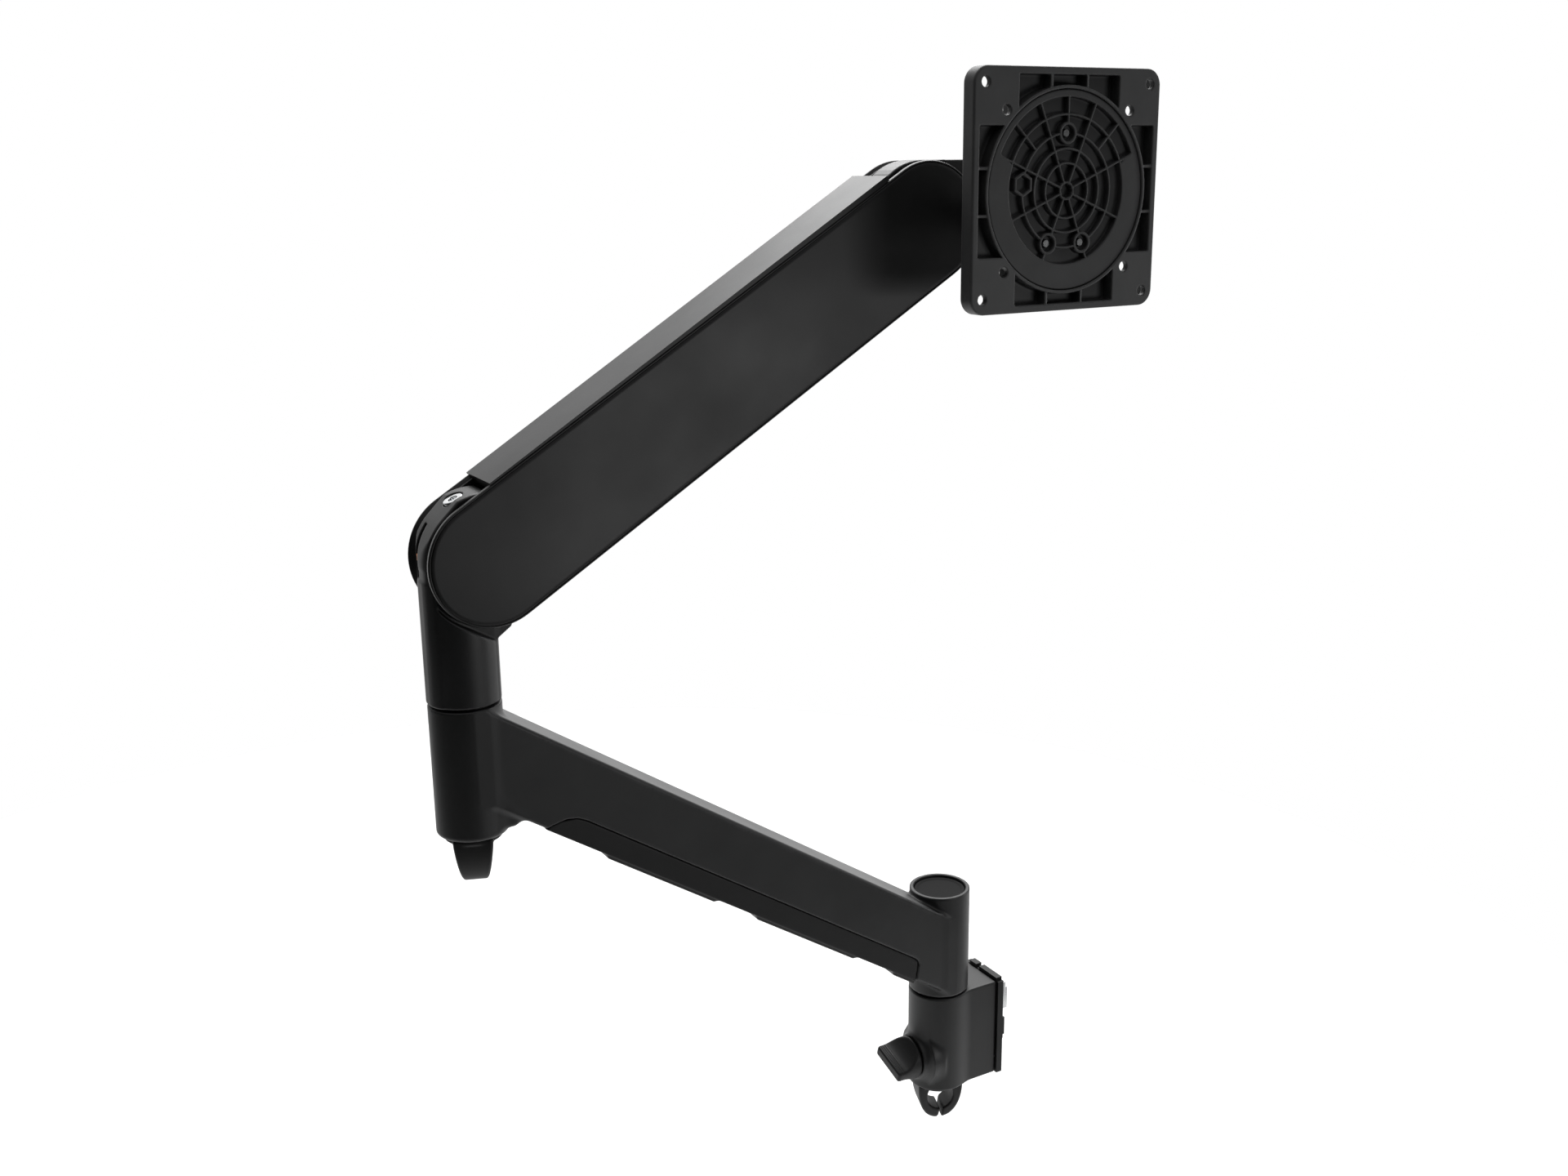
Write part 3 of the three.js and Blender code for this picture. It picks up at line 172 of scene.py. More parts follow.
def arc(radius, start, stop, steps):
    """Points of an arc round the origin, with its angles in degrees."""
    angles = np.radians(np.linspace(start, stop, steps))
    return [(radius * math.cos(a), radius * math.sin(a)) for a in angles]


# ------------------------------------------------------------------ from field to mesh

CORNERS = [(i, j, k) for i in (0, 1) for j in (0, 1) for k in (0, 1)]
EDGES = [(a, b) for a in range(8) for b in range(a + 1, 8)
         if sum(abs(p - q) for p, q in zip(CORNERS[a], CORNERS[b])) == 1]
MARGIN = 2               # empty cells round a field
PASSES = 3               # times a point is moved towards the surface
PROBE = 0.02             # half the distance over which a slope is measured
LEAST_SLOPE = 0.05
LEAST_MOVE = 1e-9
REACH = 0.6              # the furthest that a point moves at a time, in cells


def settle(field, points, reach):
    """Moves points onto the field's surface, at most reach each time."""
    for _ in range(PASSES):
        x, y, z = points.T
        here = field(x, y, z)
        slope = np.stack([
            field(x + PROBE, y, z) - field(x - PROBE, y, z),
            field(x, y + PROBE, z) - field(x, y - PROBE, z),
            field(x, y, z + PROBE) - field(x, y, z - PROBE),
        ], axis=1) / (2 * PROBE)
        size = np.maximum((slope * slope).sum(1), LEAST_SLOPE)
        move = -slope * (here / size)[:, None]
        length = np.linalg.norm(move, axis=1, keepdims=True)
        points = points + move * np.minimum(1, reach / np.maximum(length, LEAST_MOVE))
    return points


def crossing_points(value, cells):
    """The middle of the places where the surface crosses the edges of each cell, in cells."""
    at = [value[tuple((cells + corner).T)] for corner in CORNERS]
    middle = np.zeros((len(cells), 3))
    hits = np.zeros(len(cells))
    for a, b in EDGES:
        crossed = (at[a] < 0) != (at[b] < 0)
        share = np.where(crossed, at[a] / np.where(crossed, at[a] - at[b], 1), 0)
        point = np.array(CORNERS[a]) + share[:, None] * (np.array(CORNERS[b]) - np.array(CORNERS[a]))
        middle += np.where(crossed[:, None], point, 0)
        hits += crossed
    return cells + middle / hits[:, None]


def crossing_faces(inside, number, axis):
    """The quads across one axis, wherever a grid line along it goes in or out of the solid."""
    u, v = (axis + 1) % 3, (axis + 2) % 3
    first = [slice(None)] * 3
    second = [slice(None)] * 3
    first[axis] = slice(0, -1)
    second[axis] = slice(1, None)
    here, there = inside[tuple(first)], inside[tuple(second)]
    spots = np.argwhere(here != there)
    spots = spots[(spots[:, u] > 0) & (spots[:, v] > 0)]
    outward = here[tuple(spots.T)]
    ring = []
    for du, dv in ((1, 1), (0, 1), (0, 0), (1, 0)):
        cell = spots.copy()
        cell[:, u] -= du
        cell[:, v] -= dv
        ring.append(number[tuple(cell.T)])
    quad = np.stack(ring, axis=1)
    return np.where(outward[:, None], quad, quad[:, ::-1])


def surface(shape, box_low, box_high, step):
    """Quads on the zero surface of a shape that is kept inside its box: one corner in each crossed cell."""
    step = step * COARSE

    def field(x, y, z):
        return np.maximum(shape(x, y, z), block(x, y, z, box_low, box_high))

    low = box_low - MARGIN * step
    counts = np.ceil((box_high + MARGIN * step - low) / step).astype(int) + 1
    axes = [low[a] + step * np.arange(counts[a]) for a in range(3)]
    value = field(axes[0][:, None, None], axes[1][None, :, None], axes[2][None, None, :])
    value = np.broadcast_to(value, tuple(counts)).astype(np.float32)
    inside = value < 0
    corner_in = [inside[i:counts[0] - 1 + i, j:counts[1] - 1 + j, k:counts[2] - 1 + k] for i, j, k in CORNERS]
    total = sum(corner.astype(np.int8) for corner in corner_in)
    cells = np.argwhere((total > 0) & (total < len(CORNERS)))
    number = np.full(tuple(counts - 1), -1, np.int32)
    number[tuple(cells.T)] = np.arange(len(cells))
    points = low + step * crossing_points(value, cells)
    faces = [crossing_faces(inside, number, axis) for axis in range(3)]
    return settle(field, points, step * REACH), np.concatenate(faces)


def new_thing(name, mesh):
    mesh.validate()
    mesh.shade_smooth()
    thing = bpy.data.objects.new(name, mesh)
    bpy.context.scene.collection.objects.link(thing)
    return thing


def new_mesh(name, points, faces):
    mesh = bpy.data.meshes.new(name)
    mesh.vertices.add(len(points))
    mesh.vertices.foreach_set("co", (points * MM).astype(np.float32).ravel())
    corners = faces.astype(np.int32)
    mesh.loops.add(corners.size)
    mesh.loops.foreach_set("vertex_index", corners.ravel())
    mesh.polygons.add(len(corners))
    starts = np.arange(0, corners.size, corners.shape[1], dtype=np.int32)
    mesh.polygons.foreach_set("loop_start", starts)
    mesh.update(calc_edges=True)
    return new_thing(name, mesh)


def place(thing, body, node, material):
    """Hands a visual piece to the body it rides on, in place of a CAD node."""
    thing.data.materials.append(material)
    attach(thing, body)
    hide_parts(node)


def cast(name, field, step, body, node, material):
    """A piece with the shape of a field, inside the box of the CAD node it replaces."""
    low, high = extent(node)
    points, faces = surface(field, low, high, step)
    place(new_mesh(name, points, faces), body, node, material)


# ------------------------------------------------------------------ materials

MOTTLE_SCALE = 55        # noise per metre
PATCH_SCALE = 14
EDGE_STARTS = 0.53       # pointiness at which an edge starts to look rubbed
EDGE_FULL = 0.62
PATCH_ROUGH = 0.05       # roughness added or taken away by the patches
GRAIN_ROUGH = 0.03       # and by the grain
BUMP_STRENGTH = 0.6


def node_tree(name):
    material = bpy.data.materials.new(name)
    material.use_nodes = True
    tree = material.node_tree
    shader = next(n for n in tree.nodes if n.type == "BSDF_PRINCIPLED")
    return material, tree, shader


def noise(tree, coords, scale, detail, rough=0.5):
    node = tree.nodes.new("ShaderNodeTexNoise")
    node.inputs["Scale"].default_value = scale
    node.inputs["Detail"].default_value = detail
    node.inputs["Roughness"].default_value = rough
    tree.links.new(coords, node.inputs["Vector"])
    return node.outputs["Fac"]


def ramp(tree, source, low, high, start, stop):
    node = tree.nodes.new("ShaderNodeMapRange")
    node.inputs["From Min"].default_value = low
    node.inputs["From Max"].default_value = high
    node.inputs["To Min"].default_value = start
    node.inputs["To Max"].default_value = stop
    tree.links.new(source, node.inputs["Value"])
    return node.outputs["Result"]


def combine(tree, operation, first, second):
    node = tree.nodes.new("ShaderNodeMath")
    node.operation = operation
    tree.links.new(first, node.inputs[0])
    tree.links.new(second, node.inputs[1])
    return node.outputs["Value"]


def mix(tree, share, first, second):
    """From the first colour to the second. The first may be another node's output."""
    node = tree.nodes.new("ShaderNodeMix")
    node.data_type = "RGBA"
    if isinstance(first, tuple):
        node.inputs["A"].default_value = (*first, 1)
    else:
        tree.links.new(first, node.inputs["A"])
    node.inputs["B"].default_value = (*second, 1)
    tree.links.new(share, node.inputs["Factor"])
    return node.outputs["Result"]


def finish(name, dark, light, worn, rough, gloss, grain, depth, streak=None, metal=0.0, wear=0.6):
    """A material with mottled colour, rubbed edges, uneven gloss and a fine surface grain.

    grain is the size of the grain and depth the height of its bump, both in mm.
    streak scales the coordinates of the grain.
    """
    material, tree, shader = node_tree(name)
    where = tree.nodes.new("ShaderNodeTexCoord").outputs["Object"]
    grain_at = where
    if streak:
        stretch = tree.nodes.new("ShaderNodeMapping")
        stretch.inputs["Scale"].default_value = streak
        tree.links.new(where, stretch.inputs["Vector"])
        grain_at = stretch.outputs["Vector"]
    cloud = noise(tree, where, MOTTLE_SCALE, 4)
    fine = noise(tree, grain_at, 1 / (grain * MM), 2, 0.6)
    patches = noise(tree, where, PATCH_SCALE, 3)

    edge = tree.nodes.new("ShaderNodeNewGeometry").outputs["Pointiness"]
    rubbed = ramp(tree, edge, EDGE_STARTS, EDGE_FULL, 0, wear)
    broken = combine(tree, "MULTIPLY", rubbed, ramp(tree, cloud, 0.35, 0.65, 0.1, 1))
    base = mix(tree, ramp(tree, cloud, 0.3, 0.7, 0, 1), dark, light)
    tree.links.new(mix(tree, broken, base, worn), shader.inputs["Base Color"])

    broad = ramp(tree, patches, 0.3, 0.7, rough - PATCH_ROUGH, rough + PATCH_ROUGH)
    uneven = combine(tree, "ADD", broad, ramp(tree, fine, 0.2, 0.8, -GRAIN_ROUGH, GRAIN_ROUGH))
    tree.links.new(uneven, shader.inputs["Roughness"])

    bump = tree.nodes.new("ShaderNodeBump")
    bump.inputs["Strength"].default_value = BUMP_STRENGTH
    bump.inputs["Distance"].default_value = depth * MM
    tree.links.new(fine, bump.inputs["Height"])
    tree.links.new(bump.outputs["Normal"], shader.inputs["Normal"])
    shader.inputs["Specular IOR Level"].default_value = gloss
    shader.inputs["Metallic"].default_value = metal
    return material


POWDER = finish(
    "powder_coat", dark=(0.0052, 0.0054, 0.0058), light=(0.0085, 0.0088, 0.0092), worn=(0.02, 0.02, 0.021),
    rough=0.46, gloss=0.42, grain=0.5, depth=0.012)
COVER = finish(
    "cover_moulding", dark=(0.0045, 0.0045, 0.0048), light=(0.0065, 0.0065, 0.0068),
    worn=(0.014, 0.014, 0.015), rough=0.42, gloss=0.4, grain=0.35, depth=0.015, wear=0.3)
MOULDED = finish(
    "black_moulding", dark=(0.0035, 0.0036, 0.0038), light=(0.0055, 0.0056, 0.0058),
    worn=(0.015, 0.015, 0.016), rough=0.5, gloss=0.28, grain=0.6, depth=0.04)
RIBBED = finish(
    "ribbed_disc_moulding", dark=(0.032, 0.0323, 0.033), light=(0.042, 0.0424, 0.0432),
    worn=(0.07, 0.07, 0.071), rough=0.55, gloss=0.35, grain=0.6, depth=0.04)
PLATE = finish(
    "plate_coat", dark=(0.042, 0.0426, 0.0434), light=(0.052, 0.0526, 0.0535), worn=(0.085, 0.085, 0.086),
    rough=0.55, gloss=0.4, grain=0.45, depth=0.03)
STEEL = finish(
    "turned_steel", dark=(0.32, 0.33, 0.34), light=(0.45, 0.46, 0.47), worn=(0.6, 0.6, 0.6),
    rough=0.34, gloss=0.5, grain=0.4, depth=0.01, streak=(1, 1, 0.08), metal=1.0)
ZINC = finish(
    "zinc_plate", dark=(0.55, 0.56, 0.57), light=(0.7, 0.71, 0.71), worn=(0.85, 0.85, 0.85),
    rough=0.24, gloss=0.5, grain=0.8, depth=0.01, metal=1.0)
MATTE = finish(
    "matte_plug", dark=(0.006, 0.006, 0.0062), light=(0.009, 0.009, 0.0092), worn=(0.015, 0.015, 0.015),
    rough=0.75, gloss=0.12, grain=0.5, depth=0.03, wear=0.2)
BEARING = finish(
    "bearing_plastic", dark=(0.5, 0.48, 0.43), light=(0.62, 0.6, 0.55), worn=(0.7, 0.68, 0.62),
    rough=0.5, gloss=0.4, grain=0.6, depth=0.02, wear=0.2)
ORANGE = finish(
    "pointer_orange", dark=(0.75, 0.2, 0.045), light=(0.85, 0.27, 0.07), worn=(0.9, 0.45, 0.2),
    rough=0.4, gloss=0.45, grain=0.5, depth=0.01, wear=0.2)
FINISH_OF_SLOT = {
    "cast_black": POWDER, "cover_black": COVER, "plastic_black": MOULDED, "steel": STEEL,
    "zinc": ZINC, "bush_white": BEARING, "pointer_orange": ORANGE,
}

# ------------------------------------------------------------------ CAD nodes that keep their shape

FLAT_ANGLE = math.radians(1.0)       # faces that meet at less are one flat face
BEVEL_ANGLE = math.radians(35)       # edges sharper than this are bevelled
BEVEL_WIDTH = 0.3


def dress(thing, material):
    """Clean faces, small bevels and a real finish."""
    thing.data.materials.clear()
    thing.data.materials.append(material)
    flat = thing.modifiers.new("flat", "DECIMATE")
    flat.decimate_type = "DISSOLVE"
    flat.angle_limit = FLAT_ANGLE
    soft = thing.modifiers.new("soft", "BEVEL")
    soft.width = BEVEL_WIDTH * MM
    soft.segments = 2
    soft.limit_method = "ANGLE"
    soft.angle_limit = BEVEL_ANGLE
    soft.harden_normals = True
    thing.data.shade_smooth()
    thing.modifiers.new("normals", "WEIGHTED_NORMAL").keep_sharp = True


slot_of_node = {part["node"]: part["material_slot"] for part in frame["record"]["subparts"]}
for node, thing in frame["nodes"].items():
    dress(thing, FINISH_OF_SLOT[slot_of_node[node]])

# ------------------------------------------------------------------ rail bracket

KNOB_Z = pivot("lock_knob_turn")[2]
CLAMP_X, _, NUT_Z = pivot("clamp_screw_turn")
BRACKET_LOW, BRACKET_HIGH = extent("bracket_casting")
BLOCK_HALF = 14.6
BRACKET_EDGE = 0.9
FLARE_R = 12.6           # the boss behind the knob
FLARE_SWELL = 4.6        # its extra radius at the tube
FLARE_AT = 13.5          # where the swell starts to fade, outward from the base axis
FLARE_FADE = 1.6
FLARE_FROM = 6
FLARE_TO = TUBE_R + 0.8
BUSH_LOW = -18
THREAD_R = 3.4           # bores of the lock stud and of the clamp screw
PORT_R = 4.6             # bore of the rail nut's stud
PORT_TO = 19.5
CLAMP_BORE_TO = -3
PLATE_SCREW_Y = 9
PLATE_SCREW_Z = -20
PLATE_SCREW_R = 2.5
PLATE_SCREW_TO = 16


def bracket(x, y, z):
    low, high = BRACKET_LOW[2], BRACKET_HIGH[2]
    axis = far(x - BASE_X, y)
    tube = drum(axis, z, low, high, TUBE_R, BRACKET_EDGE)
    back = block(x, y, z, (BRACKET_LOW[0], -BLOCK_HALF, low), (BASE_X, BLOCK_HALF, high), BRACKET_EDGE)
    knob_axis = far(y, z - KNOB_Z)
    swell = FLARE_SWELL * np.exp(-np.maximum(x - BASE_X - FLARE_AT, 0) / FLARE_FADE)
    flare = edge_round(knob_axis - (FLARE_R + swell), within(x, BASE_X + FLARE_FROM, BASE_X + FLARE_TO), 0.6)
    body = join(2.5, join(3, tube, back), flare)
    clamp_axis = far(x - CLAMP_X, z - NUT_Z)
    screw_axis = far(np.abs(y) - PLATE_SCREW_Y, z - PLATE_SCREW_Z)
    return cut(
        0.5, body,
        drum(axis, z, BUSH_LOW, high + BEYOND, BUSH_BORE_R),
        drum(knob_axis, x, BASE_X, BASE_X + TUBE_R + ASIDE, THREAD_R),
        drum(far(y, z - NUT_Z), x, 0, PORT_TO, PORT_R),
        drum(clamp_axis, y, -ASIDE, CLAMP_BORE_TO, THREAD_R),
        drum(axis, z, low - BEYOND, low + CLIP_BORE_DEEP, CLIP_BORE_R),
        drum(screw_axis, x, 0, PLATE_SCREW_TO, PLATE_SCREW_R),
    )


cast("bracket_cast", bracket, 0.55, "bracket", "bracket_casting", POWDER)

# ------------------------------------------------------------------ wing knob

KNOB_FACE = extent("lock_knob")[0][0]
WING_TURN = math.radians(-17)
KNOB_R = 12.5
KNOB_FROM = 0.1
KNOB_TO = 16.9
WING_FROM = 1.4          # the round back narrows from here
WING_LONG = 12.5         # over this distance
WING_TIP = 3.0           # to this half thickness
WING_ROOT = 9.4
WING_HOLLOW = 2.1        # above 1 the sides of the wing are hollow
RIDGE_DEEP = 0.2
RIDGE_PITCH = 1.3
RIDGE_FROM = 11
RIDGE_FADE = 1.5
KNOB_SOCKET = 9.4
KNOB_SOCKET_R = 3.3


def knob(x, y, z):
    along = x - KNOB_FACE
    up = z - KNOB_Z
    wide = y * math.cos(WING_TURN) + up * math.sin(WING_TURN)
    thick = -y * math.sin(WING_TURN) + up * math.cos(WING_TURN)
    out = far(y, up)
    fade = np.clip((along - RIDGE_FROM) / RIDGE_FADE, 0, 1)
    ridges = RIDGE_DEEP * np.cos(along * 2 * math.pi / RIDGE_PITCH) * fade
    swell = np.clip(1 - (along - WING_FROM) / WING_LONG, 0, 1) ** WING_HOLLOW
    half = WING_TIP + WING_ROOT * swell - ridges
    body = edge_round(out - KNOB_R, within(along, KNOB_FROM, KNOB_TO), 1.6)
    body = edge_round(body, np.abs(thick) - half, 1.0)
    body = np.maximum(body, np.abs(wide) - KNOB_R)
    return cut(0.4, body, drum(out, along, -1, KNOB_SOCKET, KNOB_SOCKET_R))


cast("wing_knob", knob, 0.4, "lock_knob", "lock_knob", MOULDED)

# ------------------------------------------------------------------ cable clips

STEM_TALL = 6            # the stem, above the underside of the tube
STEM_R = 6.1
CLIP_WIDE = 13.4
CLIP_DROP = 24.6
CLIP_SQUARE = 2.3        # above 2 the outline is squarer than an ellipse
CLIP_HALF = 9.6          # half depth at the top
CLIP_TAPER = 3.6
LOOP_WIDE = 7.9
LOOP_TALL = 9.3
LOOP_AT = 8.5
CLIP_MEAN_R = 13         # turns the outline's ratio into mm
SLIT_HALF = 0.95
SLIT_LEAN = 0.2
SLIT_ASIDE = 1.1         # the slit's offset at its middle
SLIT_MIDDLE = -20
SLIT_LOW = -30
SLIT_HIGH = -14
CLIP_DISC_T = 2.2
CLIP_DISC_R = 14


def clip(node, axis_x, turn):
    top = extent(node)[1][2] - STEM_TALL

    def field(x, y, z):
        across = (x - axis_x) * math.cos(turn) + y * math.sin(turn)
        deep = -(x - axis_x) * math.sin(turn) + y * math.cos(turn)
        rise = z - top
        drop = np.maximum(-rise, 0) / CLIP_DROP
        outer = (np.abs(across / CLIP_WIDE) ** CLIP_SQUARE + drop ** CLIP_SQUARE) ** (1 / CLIP_SQUARE)
        shell = edge_round((outer - 1) * CLIP_MEAN_R, rise, 0.8)
        half = CLIP_HALF - CLIP_TAPER * drop ** 1.4
        body = edge_round(shell, np.abs(deep) - half, 1.4)
        hole = (far(across / LOOP_WIDE, (rise + LOOP_AT) / LOOP_TALL) - 1) * LOOP_WIDE
        leaning = np.abs(across + SLIT_ASIDE + (rise - SLIT_MIDDLE) * SLIT_LEAN) - SLIT_HALF
        slit = edge_round(leaning, within(rise, SLIT_LOW, SLIT_HIGH), 0.3)
        axis = far(x - axis_x, y)
        disc = drum(axis, rise, -CLIP_DISC_T, 0, CLIP_DISC_R, 0.5)
        stem = drum(axis, rise, -1, STEM_TALL, STEM_R, 0.3)
        return join(1.0, cut(1.2, body, hole, slit), disc, stem)

    return field


for name, node, axis_x, turn in (
    ("clip_base", "base_clip", BASE_X, math.radians(-20)),
    ("clip_elbow", "elbow_clip", ELBOW_X, math.radians(70)),
):
    cast(name, clip(node, axis_x, turn), 0.45, node, node, MOULDED)

# ------------------------------------------------------------------ lower arm
# The sloping run has its own frame: along the slope from the base axis, and across it from the underside.

RUN_SLOPE = math.radians(33.3)
RUN_LOW = 30.5
RUN_HEIGHT = 40.3
RUN_HALF = 17.0
RUN_OVER_FOOT = 0.8
COVER_DEEP = 11          # how far the cable cover reaches up the sides
COVER_LINE = [(31.3, -3), (36.1, 7), (36.7, 9.1), (38.4, 10.5), (41.6, COVER_DEEP), (274, COVER_DEEP),
              (279.5, 10.2), (284.6, 7.6), (290, 2), (293, -3)]
COVER_GAP = 0.3
CHANNEL_LINE = [(36, -2), (280, -2), (276, 8), (258, 31), (60, 31), (36, 14)]
CHANNEL_HALF = 12.4
ARM_LOW, ARM_HIGH = (limit[2] for limit in extent("lower_arm_casting"))
BASE_TOP = extent("base_cap")[1][2] + 1.4
CAP_SEAT = 3.4
CAP_SEAT_R = 15
BASE_BORE_R = 8.3
BASE_BORE_TOP = 86
ELBOW_LOW = extent("elbow_clip")[1][2] - STEM_TALL + 0.3
ELBOW_BORE_LOW = 204
ELBOW_FOOT_EDGE = 2.2
TUBE_EDGE = 0.7
GUSSET = [(ELBOW_X + x, ELBOW_LOW + z) for x, z in ((-8, 3), (1 - TUBE_R, 3), (-TUBE_R - 5.5, 6.5), (-8, 24))]


def on_run(x, z):
    dx, dz = x - BASE_X, z - RUN_LOW
    along = dx * math.cos(RUN_SLOPE) + dz * math.sin(RUN_SLOPE)
    across = -dx * math.sin(RUN_SLOPE) + dz * math.cos(RUN_SLOPE)
    return along, across


def lower_arm(x, y, z):
    along, across = on_run(x, z)
    run = meet(0.5, within(across, 0, RUN_HEIGHT), within(x, BASE_X, ELBOW_X))
    run = edge_round(run, np.abs(y) - RUN_HALF, 1.5)
    run = np.maximum(run, ARM_LOW + RUN_OVER_FOOT - z)
    base_axis, elbow_axis = far(x - BASE_X, y), far(x - ELBOW_X, y)
    base = drum(base_axis, z, ARM_LOW, BASE_TOP, TUBE_R, TUBE_EDGE)
    elbow = drum(elbow_axis, z, ELBOW_LOW, ARM_HIGH + 10, TUBE_R, ELBOW_FOOT_EDGE)
    elbow = edge_round(elbow, z - ARM_HIGH, TUBE_EDGE)
    gusset = edge_round(outline(x, z, GUSSET), np.abs(y) - (RUN_HALF - 2), 2)
    body = join(2.5, join(3, run, elbow, gusset), base)
    body = edge_round(body, z - ARM_HIGH, TUBE_EDGE)
    channel = np.maximum(outline(along, across, CHANNEL_LINE), np.abs(y) - CHANNEL_HALF)
    recess = np.maximum(outline(along, across, COVER_LINE) - COVER_GAP, np.abs(y) - ASIDE)
    return cut(
        0.6, body, channel, recess,
        drum(base_axis, z, ARM_LOW - BEYOND, BASE_BORE_TOP, BASE_BORE_R),
        drum(base_axis, z, BASE_TOP - CAP_SEAT, BASE_TOP + BEYOND, CAP_SEAT_R),
        drum(elbow_axis, z, ELBOW_BORE_LOW, ARM_HIGH + BEYOND, BUSH_BORE_R),
        drum(elbow_axis, z, ELBOW_LOW - BEYOND, ELBOW_LOW + CLIP_BORE_DEEP, CLIP_BORE_R),
    )


cast("lower_arm_cast", lower_arm, 0.8, "lower_arm", "lower_arm_casting", POWDER)

# ------------------------------------------------------------------ cable cover

COVER_SKIN = 0.6         # the cover stands this far below the run
COVER_FLOOR = 1.8
COVER_WALL = 2
HOLLOW_FROM = 38.6
HOLLOW_TO = 281
ENTRIES = (64.5, 167.5)  # middles of the two cable entries
ENTRY_REACH = 11
ENTRY_HALF = 8
TABS = ((30, 53, 0), (76, 157, 5), (178, 257, 5))    # thumb ledges: start, end and taper at the start
TAB_DEEP = 2.4
TAB_TOP = 0.6
TAB_TAPER = 5
TAB_INSET = 1.5


def cable_cover(x, y, z):
    along, across = on_run(x, z)
    face = outline(along, across, COVER_LINE)
    body = edge_round(np.maximum(face, -COVER_SKIN - across), np.abs(y) - RUN_HALF, 1.2)
    for start, stop, taper in TABS:
        foot = [(start + taper, -TAB_DEEP), (stop - TAB_TAPER, -TAB_DEEP), (stop, TAB_TOP), (start, TAB_TOP)]
        tab = np.maximum(outline(along, across, foot), face)
        body = join(0.8, body, edge_round(tab, np.abs(y) - RUN_HALF + TAB_INSET, 0.6))
    hollow = np.maximum(within(along, HOLLOW_FROM, HOLLOW_TO), COVER_FLOOR - across)
    body = cut(0.5, body, edge_round(hollow, np.abs(y) - RUN_HALF + COVER_WALL, 1))
    for middle in ENTRIES:
        span = within(along, middle - ENTRY_REACH, middle + ENTRY_REACH)
        entry = edge_round(span, np.abs(y) - ENTRY_HALF, 2)
        body = cut(0.6, body, np.maximum(entry, within(across, -4, 5)))
    return body


cast("channel_cover", cable_cover, 0.7, "cable_cover", "cable_cover", MOULDED)

# ------------------------------------------------------------------ base cap

CAP_LOW, CAP_HIGH = (limit[2] for limit in extent("base_cap"))
CAP_R = 14.7
DISH_R = 13.4
DISH_DEEP = 0.5
DISH_FADE = 1.2


def base_cap(x, y, z):
    axis = far(x - BASE_X, y)
    disc = drum(axis, z, CAP_LOW, CAP_HIGH, CAP_R, 0.5)
    dish = DISH_DEEP * np.clip((DISH_R - axis) / DISH_FADE, 0, 1)
    return np.maximum(disc, z - (CAP_HIGH - dish))


cast("cap_disc", base_cap, 0.4, "lower_arm", "base_cap", MATTE)

# ------------------------------------------------------------------ elbow knuckle
# Its outlines are drawn round the main pivot.

KNUCKLE_LOW = extent("elbow_knuckle")[0][2]
COLUMN_DROP = 8          # the column ends this far below the pivot
COVER_CLEAR = 32.5       # room for the round ends of the side covers
SCREW_ANGLE = math.radians(67)
LOWEST = math.radians(-30)
TONGUE_LINE = (
    [(29.7, -67.1), (29.7, -3)] + arc(30.2, -2, 46, 12) + arc(32.2, 66, 92, 8)
    + [(-6, 17)] + arc(16, 115, 190, 10) + [(-12.5, -24), (-8.8, -32.5), (-1.8, -37.5), (-1.8, -67.1)]
)
CAVITY_LINE = arc(24, -22, 72, 12) + [(-9, 38.5), (-60, 40), (-60, -44), (-20, -38), (-5, -31), (9, -27)]
CAVITY_HALF = 6.3
SWEEP_FAR = 60
SWEEP_FOOT = (-math.sin(LOWEST) * COVER_CLEAR, -math.cos(LOWEST) * COVER_CLEAR)
SWEEP_END = (SWEEP_FOOT[0] - SWEEP_FAR * math.cos(LOWEST), SWEEP_FOOT[1] + SWEEP_FAR * math.sin(LOWEST))
SWEEP_LINE = (
    [(SWEEP_FAR, 0)] + arc(COVER_CLEAR, 0, math.degrees(math.atan2(SWEEP_FOOT[1], SWEEP_FOOT[0])), 16)
    + [SWEEP_END, (-SWEEP_FAR, SWEEP_FAR), (SWEEP_FAR, SWEEP_FAR)]
)
ROOT_BACK = 8            # the tongue may stand proud of the tube behind the elbow axis
ROOT_LOW = -37
CREST_LOW = 14
ELBOW_BORE_R = 8.2
ELBOW_BORE_TOP = 284
SCREW_BORE_R = 2.8
SCREW_BORE_FROM = 20
SEAT_R = 5.2
SEAT_FROM = 28.6
SEAT_TO = 45
GROOVE_R = 26.2
GROOVE_FROM = -13        # in degrees
GROOVE_TO = 37
GROOVE_Y = -3.8
GROOVE_HALF = 1.4


def on_screw(dx, dz):
    """A place beside the pivot, along the tension screw and across it."""
    along = dx * math.cos(SCREW_ANGLE) + dz * math.sin(SCREW_ANGLE)
    across = -dx * math.sin(SCREW_ANGLE) + dz * math.cos(SCREW_ANGLE)
    return along, across


